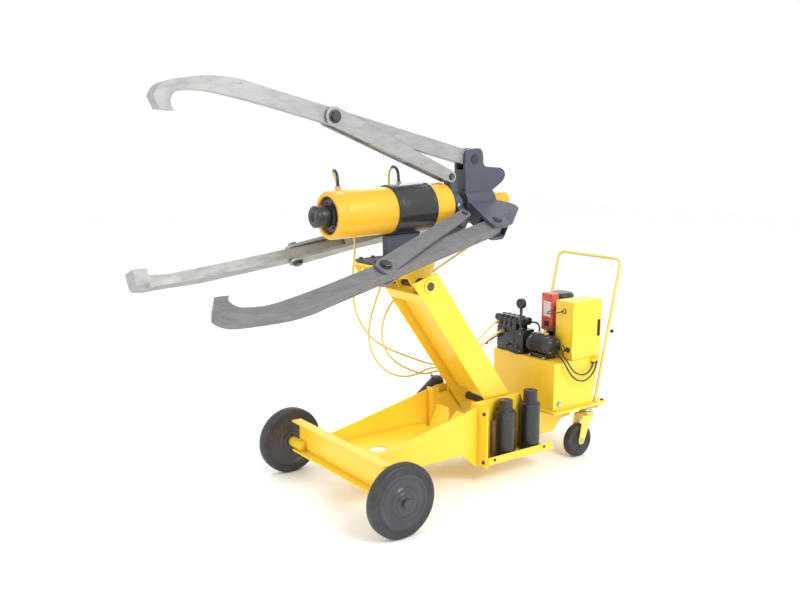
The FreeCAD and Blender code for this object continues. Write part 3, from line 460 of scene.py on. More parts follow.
def metal(name, colour, deep, rough, grain=(1, 1, 1), scale=60.0, bump=0.12, metallic=1.0):
    """Bare or blackened metal with a directional grain, stains, painted shade in corners and rubbed edges."""
    material, tree, shader = nodes_of(name)
    tone = mix(tree, span(tree, noise(tree, 9.0, 5.0), 0.32, 0.68), colour, deep)
    stains = product(tree, span(tree, noise(tree, scale, 6.0, grain), 0.45, 0.75), 0.45)
    tone = mix(tree, stains, tone, times(deep, 0.55))
    # Painted shade: corners and recesses darkened towards the deep colour by ambient occlusion.
    tone = mix(tree, product(tree, corner_shade_of(tree, 0.02), 0.55), tone, times(deep, 0.2))
    tone = mix(tree, product(tree, edges_of(tree, 0.002), 0.5), tone, times(colour, 1.35))
    gloss = span(tree, noise(tree, scale * 0.5, 5.0, grain), 0.3, 0.7, rough - 0.1, rough + 0.14)
    surface(tree, shader, tone, gloss, noise(tree, scale * 3.0, 4.0, grain), bump, 0.0008)
    shader.inputs["Metallic"].default_value = metallic
    return material


def rubber(name, colour, rough=0.62, dust=(0.20, 0.19, 0.18), amount=0.25):
    """Moulded rubber or plastic with a fine tooth and a little dust."""
    material, tree, shader = nodes_of(name)
    dusty = product(tree, span(tree, noise(tree, 14.0, 6.0), 0.45, 0.75), amount)
    tone = mix(tree, dusty, colour, dust)
    rubbed = tuple(min(1.0, c * 1.8 + 0.02) for c in colour)
    tone = mix(tree, product(tree, edges_of(tree, 0.002), 0.35), tone, rubbed)
    gloss = span(tree, noise(tree, 60.0), 0.3, 0.7, rough - 0.12, rough + 0.12)
    surface(tree, shader, tone, gloss, noise(tree, 700.0, 3.0), 0.10, 0.0005)
    return material


def hose_cover(name, colour, deep, pitch):
    """Wrapped hose cover: fine slanting ribs of the textile under a thin skin."""
    material, tree, shader = nodes_of(name)
    ribs = node(tree, "TexWave", Scale=pitch, Distortion=1.5, Vector=object_place(tree))
    ribs.bands_direction = "DIAGONAL"
    tone = mix(tree, span(tree, ribs.outputs["Fac"], 0.2, 0.8, 0.0, 0.35), colour, deep)
    tone = mix(tree, span(tree, noise(tree, 18.0, 5.0), 0.5, 0.75, 0.0, 0.5), tone, times(deep, 0.6))
    gloss = span(tree, noise(tree, 50.0), 0.3, 0.7, 0.34, 0.55)
    surface(tree, shader, tone, gloss, ribs.outputs["Fac"], 0.15, 0.0004)
    return material


YELLOW = paint("yellow_paint", (0.95, 0.66, 0.040), (0.90, 0.54, 0.018), 0.36)
YELLOW_CAST = paint("yellow_paint_aged", (0.90, 0.68, 0.10), (0.82, 0.56, 0.06), 0.42, 0.1)
HANDLE_PAINT = paint("handle_paint", (0.72, 0.64, 0.22), (0.60, 0.53, 0.17), 0.44, 0.1)
CYLINDER_PAINT = paint("cylinder_paint", (0.80, 0.44, 0.012), (0.72, 0.37, 0.008), 0.36)
BLUE_GREY = paint("blue_grey_paint", (0.060, 0.072, 0.100), (0.035, 0.043, 0.062), 0.44, 0.15,
    (0.32, 0.33, 0.35), 0.7)
BLACK = paint("black_paint", (0.016, 0.016, 0.020), (0.009, 0.009, 0.012), 0.36, 0.35, (0.22, 0.22, 0.23),
    0.5)
WHEEL = paint("wheel_paint", (0.036, 0.036, 0.048), (0.024, 0.024, 0.032), 0.38, 0.3, (0.22, 0.22, 0.23),
    0.5)
JAW_STEEL = metal("jaw_steel", (0.40, 0.395, 0.385), (0.365, 0.362, 0.355), 0.46, (1, 0.25, 1), 60.0, 0.16,
    0.6)
# Darker copy of the jaw steel: painted shade for the right jaw, which faces down and away from the light.
JAW_SHADED_STEEL = metal("jaw_steel_painted_shade", (0.23, 0.23, 0.243), (0.21, 0.21, 0.222), 0.48, (1, 0.25, 1), 60.0, 0.16,
    0.6)
ROD_STEEL = metal("dark_bolt_steel", (0.16, 0.16, 0.17), (0.08, 0.08, 0.09), 0.42)
ZINC = metal("zinc_plate", (0.62, 0.62, 0.60), (0.45, 0.45, 0.44), 0.34, scale=90.0, bump=0.05)
CHROME = metal("chrome_rod", (0.72, 0.72, 0.73), (0.60, 0.60, 0.62), 0.16, (1, 8, 1), 30.0, 0.02)
BRASS = metal("brass", (0.72, 0.50, 0.16), (0.52, 0.34, 0.10), 0.33, scale=80.0, bump=0.05)
BROWN = metal("brown_bar", (0.20, 0.115, 0.065), (0.10, 0.055, 0.035), 0.6, (1, 1, 0.3), 60.0, 0.25, 0.6)
TYRE = rubber("tyre_rubber", (0.026, 0.026, 0.032), 0.5, amount=0.12)
CASTOR_RUBBER = rubber("castor_rubber", (0.020, 0.020, 0.021), 0.6)
BLACK_PLASTIC = rubber("black_plastic", (0.016, 0.016, 0.017), 0.45, amount=0.12)
RED = rubber("red_plastic", (0.66, 0.10, 0.075), 0.34, (0.75, 0.34, 0.28), 0.5)
LABEL = rubber("blank_label", (0.70, 0.70, 0.68), 0.42, (0.50, 0.49, 0.47), 0.3)
DIAL = rubber("gauge_dial", (0.60, 0.60, 0.58), 0.40, (0.52, 0.52, 0.50), 0.2)
HOSE = hose_cover("hose_cover", (0.74, 0.66, 0.16), (0.55, 0.47, 0.09), 260.0)
CABLE = rubber("cable_sheath", (0.014, 0.014, 0.015), 0.42, amount=0.1)


# ------------------------------------------------------------------ hoses and cable
def head_point(across, ahead, up):
    return HEAD @ Vector((across, ahead, up))


def boom_point(across, back, up):
    return BOOM @ Vector((across, back, up))


def cart_points(points):
    return [p if isinstance(p, Vector) else CART @ Vector(p) for p in points]


def smooth_line(name, points):
    """Points along the NURBS curve through the route, in metres."""
    curve = bpy.data.curves.new(name + "_line", "CURVE")
    curve.dimensions = "3D"
    spline = curve.splines.new("NURBS")
    spline.points.add(len(points) - 1)
    for target, point in zip(spline.points, points):
        target.co = (*point, 1.0)
    spline.order_u = 3
    spline.use_endpoint_u = True
    spline.resolution_u = 8
    holder = bpy.data.objects.new(name + "_line", curve)
    bpy.context.scene.collection.objects.link(holder)
    bpy.context.view_layer.update()
    read = bpy.data.meshes.new_from_object(holder)
    line = [v.co.copy() for v in read.vertices]
    bpy.data.objects.remove(holder)
    bpy.data.meshes.remove(read)
    return line


def hose(node, ending, route, radius, material, body, blend=None):
    """Flexible hose along its route, on the body; given a blend, it is left in place on no body, and the second
    body and stretch that blend names are not used.
    """
    line = smooth_line(node, cart_points(route))
    bm = bmesh.new()
    tube(bm, [p / MM for p in line], radius, 18)
    made = finished(node + ending, bm, METRES, material)
    if blend:
        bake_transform(made)
    else:
        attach(made, body)
    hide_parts(node)
    return line


def stretch(line, start, end):
    """Part of a line between two distances along it."""
    gone, part = 0.0, []
    for a, b in zip(line, line[1:]):
        if start <= gone <= end:
            part.append(a)
        gone += (b - a).length
    return part


def ferrule(bm, point, direction, radius=6.6, length=26, across=13):
    """Pressed hose end: hexagon at the port and a grooved sleeve over the hose."""
    place = along(Vector(point) / MM, direction)
    hexagon(bm, place, across + 3, 9, False)
    profile = [(8, 0), (8, radius - 0.8), (11, radius)]
    for k in range(3):
        start = 13 + k * 4
        profile += [(start, radius), (start + 0.8, radius - 0.7), (start + 2, radius - 0.7),
            (start + 2.8, radius)]
    profile += [(length - 1, radius), (length, radius - 1.2), (length, 0)]
    lathe(bm, profile, place, 24)


HOSE_RADIUS = 4.5
CABLE_RADIUS = 3.5
LEAD_RADIUS = 2.5
FRONT_ROUTE = [
    head_point(-44, 35, 104.3), head_point(-44.4, 35.5, 140), head_point(-55, 38, 162),
    head_point(-76, 43, 173), head_point(-98, 50, 170), head_point(-117, 60, 157),
    (-129, 73, 1345), (-134, 90, 1307), (-133, 114, 1254), (-130, 144, 1190), (-128, 162, 1118),
    (-128, 165, 1050), (-128, 157, 984), (-131, 151, 916), (-136, 156, 846), (-142, 174, 776),
    (-149, 208, 710), (-157, 258, 652), (-166, 320, 604), (-177, 386, 568), (-190, 448, 540),
    (-203, 508, 514), (-213, 564, 489), (-209, 609, 469), (-197, 630, 464), (-176, 642, 462.9),
    boom_point(-148.6, -34, 224)]
REAR_ROUTE = [
    head_point(-44, 337, 104.3), head_point(-44.4, 337.3, 140), head_point(-55, 338, 162),
    head_point(-76, 340, 173), head_point(-98, 342, 170), head_point(-118, 344, 157),
    head_point(-130, 346, 135), head_point(-134, 348, 98), head_point(-133, 350, 50),
    head_point(-125, 351, -4), head_point(-115, 351, -56), head_point(-106, 350, -108),
    head_point(-107, 346, -162), head_point(-118, 340, -216), head_point(-135, 330, -272),
    (-148, 311, 876), (-156, 290, 812), (-163, 270, 746), (-168, 258, 678), (-171, 264, 610),
    (-172, 290, 548), (-175, 334, 494), (-182, 390, 456), (-192, 448, 432), (-204, 505, 421),
    (-214, 560, 422), (-215, 594, 431), (-209, 622, 439.6), (-197, 642, 444.8), (-176, 653.6, 446.2),
    boom_point(-148.6, -34, 204)]
JAW_ROUTE = [
    head_point(0, 872, -48.4), head_point(-2, 871.6, -84), head_point(-18, 858, -126),
    head_point(-48, 826, -166), head_point(-84, 776, -204), head_point(-114, 716, -244),
    head_point(-134, 646, -284), head_point(-145, 570, -324), head_point(-148, 500, -360),
    (-147, 434, 846), (-144, 374, 804), (-141, 330, 750), (-139, 308, 688), (-139, 312, 622),
    (-142, 342, 564), (-150, 390, 518), (-161, 446, 484), (-174, 500, 457), (-189, 552, 434),
    (-200, 598, 420), (-203, 632, 420), (-195, 653.4, 425.6), (-176, 665, 429.6),
    boom_point(-148.6, -34, 184)]
FEED_ROUTE = [
    boom_point(-148.6, -26, 156), (-174.3, 688.4, 412.1), (-193, 695.6, 419.4),
    (-204, 710, 432), (-204.6, 758, 467),
    (-198, 820, 494), (-192, 880, 524), (-188, 938, 562), (-186, 986, 600), (-184.6, 1017, 619),
    (-184, 1043.2, 622)]
RETURN_ROUTE = [
    boom_point(-148.6, -26, 138), (-170.1, 698.9, 397.4), (-186.8, 704.7, 405.1),
    (-196.5, 714.7, 418.5), (-197, 750, 452),
    (-190, 816, 472), (-182, 874, 496), (-172, 932, 524), (-160, 985, 562), (-151, 1020, 581),
    (-150, 1047.2, 584)]
CABLE_ROUTE = [
    (150, 1139.6, 532), (150.4, 1115, 530.6), (160, 1097, 522), (182, 1085, 512), (212, 1079, 504),
    (232, 1081, 485), (239, 1095, 456), (241, 1121, 420), (241, 1160, 394), (239, 1204, 386),
    (234, 1246, 394), (227, 1281, 414), (220.4, 1304, 438), (220, 1307.4, 465.4)]
STARTER_ROUTE = [
    (64, 1180, 716), (74, 1180, 716), (88, 1166, 714), (88.4, 1132, 709), (89, 1101, 705), (106, 1083, 703),
    (132, 1083, 705), (149, 1101, 709), (150, 1121, 711.6), (150, 1141, 712)]
SUPPLY_ROUTE = [
    (180, 1139.6, 532), (180.4, 1119, 530.6), (190, 1103, 523), (208, 1096, 513), (226, 1099, 496),
    (234, 1111, 470), (236, 1135, 442), (236, 1167, 423), (235, 1202, 415), (232, 1237, 419),
    (226, 1264, 433), (220.5, 1281, 450), (220, 1284, 466)]


def lead(name, route, radius):
    """Cable between two fixed points of the cart that only the finished model has."""
    line = smooth_line(name, cart_points(route))
    bm = bmesh.new()
    tube(bm, [p / MM for p in line], radius, 14)
    made = piece(name, bm, METRES, CABLE, "cart")


def hose_end(name, line, material, body, sleeve=False):
    """Fitting at the first point of the line, with a stiff bend guard over the hose if it has one."""
    bm = bmesh.new()
    ferrule(bm, line[0], line[3] - line[0])
    if sleeve:
        tube(bm, [p / MM for p in stretch(line, 0.022, 0.105)], 6.4, 16)
    piece(name, bm, METRES, material, body)


def all_hoses():
    upper = ("boom", (-150, 250, 800), (-150, 620, 440))
    for node, route, length in (("hose_front", FRONT_ROUTE, 1.381), ("hose_rear", REAR_ROUTE, 1.441),
            ("hose_jaw", JAW_ROUTE, 1.364)):
        line = hose(node, "_hose", route, HOSE_RADIUS, HOSE, "head", upper)
        hose_end(node + "_head_fitting", line, BLACK, "head", node != "hose_jaw")
        hose_end(node + "_boom_fitting", line[::-1], ZINC, "boom")
    for node, route, length, start, end in (
            ("hose_feed", FEED_ROUTE, 0.455, (-150, 710, 430), (-150, 980, 580)),
            ("hose_return", RETURN_ROUTE, 0.438, (-150, 688, 384), (-150, 752, 469))):
        line = hose(node, "_hose", route, HOSE_RADIUS, HOSE, "boom", ("cart", start, end))
        hose_end(node + "_boom_fitting", line, ZINC, "boom")
        hose_end(node + "_valve_fitting", line[::-1], BRASS, "cart")
    hose("motor_cable", "_sheath", CABLE_ROUTE, CABLE_RADIUS, CABLE, "cart")
    lead("starter_lead", STARTER_ROUTE, LEAD_RADIUS)
    lead("supply_lead", SUPPLY_ROUTE, CABLE_RADIUS)


# ------------------------------------------------------------------ front axle and wheels
def wheels():
    for side, sign in SIDES:
        hub = CART @ along((sign * 437, 0, AXLE_HEIGHT), sign * X)
        bm = bmesh.new()
        tread = [(-25, 112), (-25, 134), (-24, 140), (-21, 146), (-15, 149.2), (-2, 149.8), (-1, 150),
            (1, 150), (2, 149.8), (15, 149.2), (21, 146), (24, 140), (25, 134), (25, 126), (23.8, 125),
            (23.8, 122), (25, 121), (25, 112)]
        lathe(bm, eased(tread, 0.8, 1), HERE, 112)
        piece("tyre_" + side + "_tread", bm, hub, TYRE, "wheel_" + side, ["tyre_" + side])
        bm = bmesh.new()
        dish = [(-28, 15.1), (34, 15.1), (34, 22), (32, 24), (32, 36), (33, 40), (29, 45), (28, 56),
            (23, 62), (20.5, 66), (19.5, 94), (22.5, 99), (24.5, 104), (24.5, 112), (-24, 112), (-24, 102),
            (-20, 97), (-20, 62), (-24, 58), (-24, 40), (-28, 36)]
        lathe(bm, eased(dish, 2.2, 3), HERE, 96)
        piece("wheel_core_" + side + "_dish", bm, hub, WHEEL, "wheel_" + side, ["wheel_core_" + side])
    bm = bmesh.new()
    for sign in (1, -1):
        shank = along((sign * 310, 0, AXLE_HEIGHT), sign * X)
        lathe(bm, eased([(0, 0), (0, 14.9), (162, 14.9), (162, 21.5), (165.5, 21.5), (165.5, 0)], 0.6, 2),
            shank, 40)
        hexagon(bm, shank @ at(0, 0, 165.5), 34, 8.3)
    piece("axle_bolts_turned", bm, CART, WHEEL, "cart", ["axle_bolts"])


def cart_frame():
    for node in ("front_beam", "frame_side_right", "frame_side_left", "frame_floor", "deck", "rod_shelf"):
        soften(node, 1.6, YELLOW)
    bm = bmesh.new()
    for sign in (1, -1):
        weld(bm, [(sign * 175.5, 18, 194), (sign * 175.5, 556, 194)])
        weld(bm, [(sign * 175.5, 20, 184), (sign * 175.5, 500, 184)], 2.2)
        weld(bm, [(sign * 186, 17, 150), (sign * 186, 17, 224)], 2.4)
        weld(bm, [(sign * 176, 17, 196), (sign * 176, 17, 224)], 2.4)
        weld(bm, [(sign * 186, 596, 92), (sign * 186, 596, 346)], 2.4)
        weld(bm, [(sign * 151, 606, 110), (sign * 151, 606, 356)], 2.4)
        for height in (131, 169):
            weld(bm, [(sign * 302, 9, height), (sign * 358, 9, height)], 2.4)
        weld(bm, [(sign * 141.5, 932, 244), (sign * 141.5, 1208, 244)], 2.2)
        weld(bm, [(sign * 150.5, 1024, 244), (sign * 150.5, 1208, 244)], 2.2)
    weld(bm, [(151, 612, 99), (151, 980, 99)], 2.4)
    weld(bm, [(151, 612, 107), (151, 990, 107)], 2.2)
    weld(bm, [(-174, 16.5, 194), (174, 16.5, 194)], 2.3)
    weld(bm, arc((-186, 437, 179), 19.5, 0, 360, 60, (Y, Z)), 2.2)
    for side in (104, -104):
        weld(bm, [(side, 566 + k * 10, 200 + k * 21.5) for k in range(4)], 2.0)
    piece("frame_welds", bm, CART, YELLOW, "cart")
    bm = bmesh.new()
    for spot in ((228, 597, 110), (228, 597, 330), (165, 597, 330)):
        bolt(bm, along(spot, -Y), 8)
    for along_y in (640, 940):
        bolt(bm, along((253, along_y, 121), X), 6)
    for sx in (-1, 1):
        for sy in (1046, 1372):
            bolt(bm, along((sx * 205, sy, 257), Z), 8)
    piece("frame_bolts", bm, CART, ROD_STEEL, "cart")


# ------------------------------------------------------------------ deck: handle, tank and power unit
def push_handle():
    lean = at(0, 1322, 259.4) @ Matrix.Rotation(radians(-12.3), 4, "X")
    half, height, bend = 205.0, 696.0, 34.0
    left = [Vector((-half, 0, 0))] + arc((-half + bend, 0, height - bend), bend, 180, 90, 14)
    right = arc((half - bend, 0, height - bend), bend, 90, 0, 14) + [Vector((half, 0, 0))]
    bm = bmesh.new()
    tube(bm, [lean @ p for p in left + right], 8.5, 28)
    piece("push_handle_tube", bm, CART, HANDLE_PAINT, "cart", ["push_handle"])
    bm = bmesh.new()
    for sign in (1, -1):
        weld(bm, arc((sign * half, 1322, 258.4), 9.2, 0, 360, 40, (X, Y)), 2.2)
    piece("handle_welds", bm, CART, YELLOW, "cart")
    bm = bmesh.new()
    place = along(lean @ Vector((half, 6.5, 345)), (0.45, 1, 0))
    lathe(bm, eased([(0, 0), (0, 3.5), (11, 3.5), (11, 9), (22, 9), (24, 5), (24, 0)], 1.4), place, 28)
    piece("handle_stop", bm, CART, BLACK_PLASTIC, "cart")


def tank():
    soften("tank", 5.0, YELLOW, 3)
    bm = bmesh.new()
    weld(bm, [(-206, 1035, 257.5), (206, 1035, 257.5)], 2.6)
    for sign in (1, -1):
        weld(bm, [(sign * 210, 1038, 257.5), (sign * 210, 1288, 257.5)], 2.6)
    weld(bm, [(-206, 1290, 257.5), (206, 1290, 257.5)], 2.6)
    piece("tank_welds", bm, CART, YELLOW, "cart")
    bm = bmesh.new()
    lathe(bm, eased([(-10, 0), (-10, 17.5), (0, 17.5), (0, 27), (6, 30), (6, 0)], 0.8), steps=48)
    for t in around(18):
        spin = Matrix.Rotation(t, 4, "Z")
        prism(bm, [(22, -3.2), (29.5, -2.6), (29.5, 2.6), (22, 3.2)], 5.5, 22, spin, 0.8, 2)
    lathe(bm, eased([(5, 0), (5, 25), (22, 25), (25, 20), (25, 9), (23.5, 8), (23.5, 0)], 1.2), steps=48)
    piece("filler_cap_knob", bm, CART @ at(-140, 1250, TANK_TOP), BLACK_PLASTIC, "filler_cap",
        ["filler_cap"])
    bm = bmesh.new()
    ring(bm, HERE, 18.5, 33, 0, 1.6, 0.4, 48, 1)
    for t in around(6):
        cap_screw(bm, at(31 * cos(t), 31 * sin(t), 0.5), 2.2)
    piece("filler_flange", bm, CART @ at(-140, 1250, TANK_TOP - 1.8), ZINC, "cart")
    bm = bmesh.new()
    bolt(bm, along((211, 1070, 290), X), 12)
    piece("drain_plug", bm, CART, ZINC, "cart")


def motor():
    place = CART @ at(18, 1265, TANK_TOP)
    bm = bmesh.new()
    profile = [(0, 0), (0, 66), (12, 66), (14, 60), (58, 56), (70, 56), (74, 62), (78, 63), (80, 57),
        (228, 57), (230, 63), (242, 63), (246, 60)]
    for k in range(4):
        start = 250 + 6 * k
        profile += [(start, 60), (start + 1.5, 58), (start + 3, 58), (start + 4.5, 60)]
    profile += [(278, 59), (288, 52), (292, 42), (292, 0)]
    lathe(bm, eased(profile, 1.2, 2), steps=80)
    for k in range(30):
        spin = Matrix.Rotation(2 * pi * k / 30, 4, "Z")
        if 9 < k < 13:
            continue
        block(bm, (55, -1.3, 80), (64, 1.3, 228), 0.6, 1, spin)
    piece("motor_housing", bm, place, BLACK, "cart", ["motor"])
    bm = bmesh.new()
    for t in around(4, pi / 4):
        bolt(bm, along((58 * cos(t), 58 * sin(t), 14), Z), 6)
    for t in around(4, pi / 4):
        cap_screw(bm, along((46 * cos(t), 46 * sin(t), 288), Z), 4)
    piece("motor_bolts", bm, place, ZINC, "cart")
    soften("starter_box", 0.8, RED)
    bm = bmesh.new()
    block(bm, (4, 1157, 668), (52, 1158.4, 742), 0.5, 1)
    piece("starter_label", bm, CART, LABEL, "cart")
    bm = bmesh.new()
    for sx in (1, 55):
        for sz in (609, 771):
            cap_screw(bm, along((sx, 1158, sz), -Y), 3.2)
    block(bm, (14, 1156.6, 622), (42, 1158.3, 646), 0.8, 2)
    lathe(bm, eased([(0, 0), (0, 9), (5, 9), (9, 6), (9, 0)], 1.0), along((28, 1157, 634), -Y), 28)
    piece("starter_switch", bm, CART, BLACK_PLASTIC, "cart")


def bend_through(points, count=8):
    """Smooth run through the given points, in millimetres."""
    points = [Vector(p) for p in points]
    ends = [points[0] * 2 - points[1]] + points + [points[-1] * 2 - points[-2]]
    result = []
    for i in range(1, len(ends) - 2):
        a, b, c, d = ends[i - 1:i + 3]
        for k in range(count):
            t = k / count
            result.append(0.5 * (2 * b + (c - a) * t + (2 * a - 5 * b + 4 * c - d) * t * t +
                (3 * b - a - 3 * c + d) * t ** 3))
    return result + [points[-1]]


def pump():
    place = CART @ at(0, 1100, TANK_TOP + 60)
    bm = bmesh.new()
    profile = [(-14, 0), (-14, 22), (-12, 34), (0, 34), (2, 50), (14, 50), (16, 46)]
    for k in range(9):
        start = 20 + 9 * k
        profile += [(start, 46), (start + 1, 49.5), (start + 4, 49.5), (start + 5, 46)]
    profile += [(108, 46), (110, 50), (128, 50), (138, 42), (138, 0)]
    lathe(bm, eased(profile, 1.2, 2), ALONG_X, 72)
    block(bm, (10, -34, -60), (122, 34, -40), 2.5, 3)
    piece("pump_body", bm, place, BLACK, "cart", ["pump"])
    bm = bmesh.new()
    for sx in (20, 112):
        for sy in (-40, 40):
            block(bm, (sx - 8, sy - 8, -60), (sx + 8, sy + 8, -53), 1.5, 2)
            bolt(bm, along((sx, sy, -53), Z), 6)
    for t in around(4, pi / 4):
        cap_screw(bm, along((136, 34 * cos(t), 34 * sin(t)), X), 5)
    piece("pump_bolts", bm, place, ZINC, "cart")
    bm = bmesh.new()
    for sx in (40, 90):
        hexagon(bm, along((sx, 0, 49), Z), 20, 10)
    piece("pump_fittings", bm, place, BRASS, "cart")
    bm = bmesh.new()
    tube(bm, bend_through([(40, 1100, 603), (40, 1099, 626), (22, 1098, 642), (-10, 1098, 640),
        (-30, 1097, 632), (-60, 1096, 628)]), 5.0, 16)
    tube(bm, bend_through([(90, 1100, 603), (91, 1106, 622), (96, 1128, 628), (88, 1154, 600),
        (82, 1164, 540), (82, 1164, 485)]), 5.0, 16)
    tube(bm, bend_through([(-120, 1048, 520), (-118, 1030, 514), (-90, 1020, 500), (-52, 1022, 494),
        (-34, 1036, 488), (-30, 1050, 485)]), 4.2, 14)
    piece("pump_pipes", bm, CART, BLACK, "cart")


def valve_block():
    bm = bmesh.new()
    block(bm, (-205, 1048, 485), (-22, 1128, 600), 3.0, 3)
    for k in range(4):
        low = -196 + 33.5 * k
        block(bm, (low + 1, 1044, 600), (low + 32, 1122, 648), 2.2, 2)
        block(bm, (low + 6, 1052, 646), (low + 27, 1114, 659.5), 3.0, 3)
    for centre in (1064, 1104):
        lathe(bm, eased([(-222, 0), (-222, 14), (-218, 19), (-204, 19), (-202, 16), (-196, 16), (-196, 0)],
            1.2), at(0, centre, 640) @ ALONG_X, 40)
        lathe(bm, eased([(-62, 0), (-62, 17), (-56, 17), (-52, 19), (-34, 19), (-32, 15), (-32, 0)], 1.2),
            at(0, centre, 640) @ ALONG_X, 40)
    piece("valve_block_body", bm, CART, BLACK, "cart", ["valve_block"])
    bm = bmesh.new()
    for k in range(4):
        for sy in (1058, 1108):
            cap_screw(bm, along((-179.5 + 33.5 * k, sy, 658.5), Z), 3.4)
    for sx in (-192, -36):
        for sz in (500, 586):
            cap_screw(bm, along((sx, 1048.5, sz), -Y), 4.5)
    piece("valve_screws", bm, CART, ZINC, "cart")
    bm = bmesh.new()
    rod(bm, at(-42, 1056, 0), 7, 600, 708, 0.5, 24)
    hexagon(bm, along((-42, 1056, 600), Z), 19, 12)
    hexagon(bm, along((-42, 1056, 690), Z), 15, 12)
    piece("gauge_post", bm, CART, BLACK, "cart")
    bm = bmesh.new()
    for sx, sz in ((-150, 584), (-120, 520), (-90, 540), (-62, 520)):
        hexagon(bm, along((sx, 1048.5, sz), -Y), 17, 7)
    for sx in (-176, -142, -108):
        hexagon(bm, along((sx, 1044.5, 622), -Y), 16, 7)
    piece("valve_plugs", bm, CART, ROD_STEEL, "cart")
    gauge()
    bm = bmesh.new()
    lathe(bm, eased([(-9, 0), (-7, 6), (0, 9), (6, 7.5), (12, 4.2), (14, 4.0), (96, 3.6), (98, 4), (101, 8),
        (106, 9), (114, 8), (120, 4), (120, 0)], 0.8, 2), steps=32)
    knob = CART @ at(-180, 1037.5, 556) @ Matrix.Rotation(radians(-122), 4, "Y")
    piece("valve_lever_rod", bm, knob, BLACK, "valve_lever", ["valve_lever"])


def gauge():
    """Pressure gauge read from the handle: black case, pale dial with plain tick marks and a pointer."""
    place = CART @ along((-42, 1043, 731), Y)
    bm = bmesh.new()
    lathe(bm, eased([(0, 0), (0, 23), (3, 25), (22, 25), (24, 24), (24, 21.5), (21, 21), (21, 0)], 0.7, 2),
        steps=56)
    piece("gauge_case", bm, place, BLACK_PLASTIC, "cart")
    bm = bmesh.new()
    lathe(bm, [(20.5, 0), (20.5, 20.8), (21.4, 20.8), (21.4, 0)], steps=48)
    piece("gauge_face", bm, place, DIAL, "cart")
    bm = bmesh.new()
    for k in range(13):
        spin = Matrix.Rotation(radians(-45 + 270 * k / 12), 4, "Z")
        long_tick = 4.2 if k % 3 == 0 else 2.4
        block(bm, (19.6 - long_tick, -0.45, 21.3), (19.6, 0.45, 21.7), 0.05, 1, spin)
    spin = Matrix.Rotation(radians(200), 4, "Z")
    prism(bm, [(-5, -0.8), (15, -0.25), (15, 0.25), (-5, 0.8)], 21.8, 22.3, spin, 0.05, 1)
    lathe(bm, eased([(21.4, 0), (21.4, 2.2), (22.8, 2.0), (22.8, 0)], 0.3, 1), steps=20)
    piece("gauge_pointer", bm, place, BLACK_PLASTIC, "cart")


def electrical_box():
    soften("electrical_box", 3.0, YELLOW, 3)
    bm = bmesh.new()
    block(bm, (204.5, 1150, 486), (208.6, 1344, 762), 1.6, 3)
    for sz in (520, 700):
        rod(bm, at(206.5, 1149.2, sz), 3.4, 0, 34, 0.6, 20)
    piece("electrical_door_panel", bm, CART, YELLOW, "electrical_door", ["electrical_door"])
    bm = bmesh.new()
    block(bm, (208.4, 1316, 584), (210.6, 1334, 664), 1.0, 2)
    block(bm, (210.2, 1320, 590), (213.8, 1330, 640), 1.2, 2)
    lathe(bm, eased([(0, 0), (0, 5), (3, 4.2), (3, 0)], 0.5), along((210.2, 1325, 652), X), 20)
    piece("door_latch", bm, CART, BLACK_PLASTIC, "electrical_door")
    bm = bmesh.new()
    for sx, sz in ((150, 532), (180, 532), (150, 712)):
        place = along((sx, 1152, sz), -Y)
        hexagon(bm, place, 22, 6)
        lathe(bm, eased([(5, 0), (5, 8.6), (8, 9), (11, 8), (14, 5.6), (14, 0)], 0.6), place, 28)
    piece("cable_glands", bm, CART, BLACK_PLASTIC, "cart")
    bm = bmesh.new()
    block(bm, (99, 1170, 505), (101, 1325, 742), 0.5, 1)
    for sz in (560, 680):
        block(bm, (101, 1180, sz - 4), (106, 1316, sz + 4), 0.6, 1)
    piece("control_plate", bm, CART, ZINC, "cart")
    bm = bmesh.new()
    for sz, sizes in ((560, (40, 26, 26)), (680, (52, 30))):
        start = 1188
        for size in sizes:
            block(bm, (104, start, sz - 34), (152, start + size, sz + 34), 2.0, 2)
            block(bm, (152, start + 5, sz - 20), (158, start + size - 5, sz + 20), 1.5, 2)
            start += size + 5
    piece("control_gear", bm, CART, BLACK_PLASTIC, "cart")
    bm = bmesh.new()
    for spot in (1308, 1284):
        lathe(bm, eased([(0, 0), (0, 6.5), (9, 6.5), (11, 4.5), (11, 0)], 0.8), along((220, spot, 466), -Z),
            24)
    piece("cable_socket_glands", bm, CART, BLACK_PLASTIC, "cart")
    bm = bmesh.new()
    block(bm, (209.5, 1275, 466), (230, 1293, 480), 1.5, 3)
    piece("cable_lug", bm, CART, YELLOW, "cart")


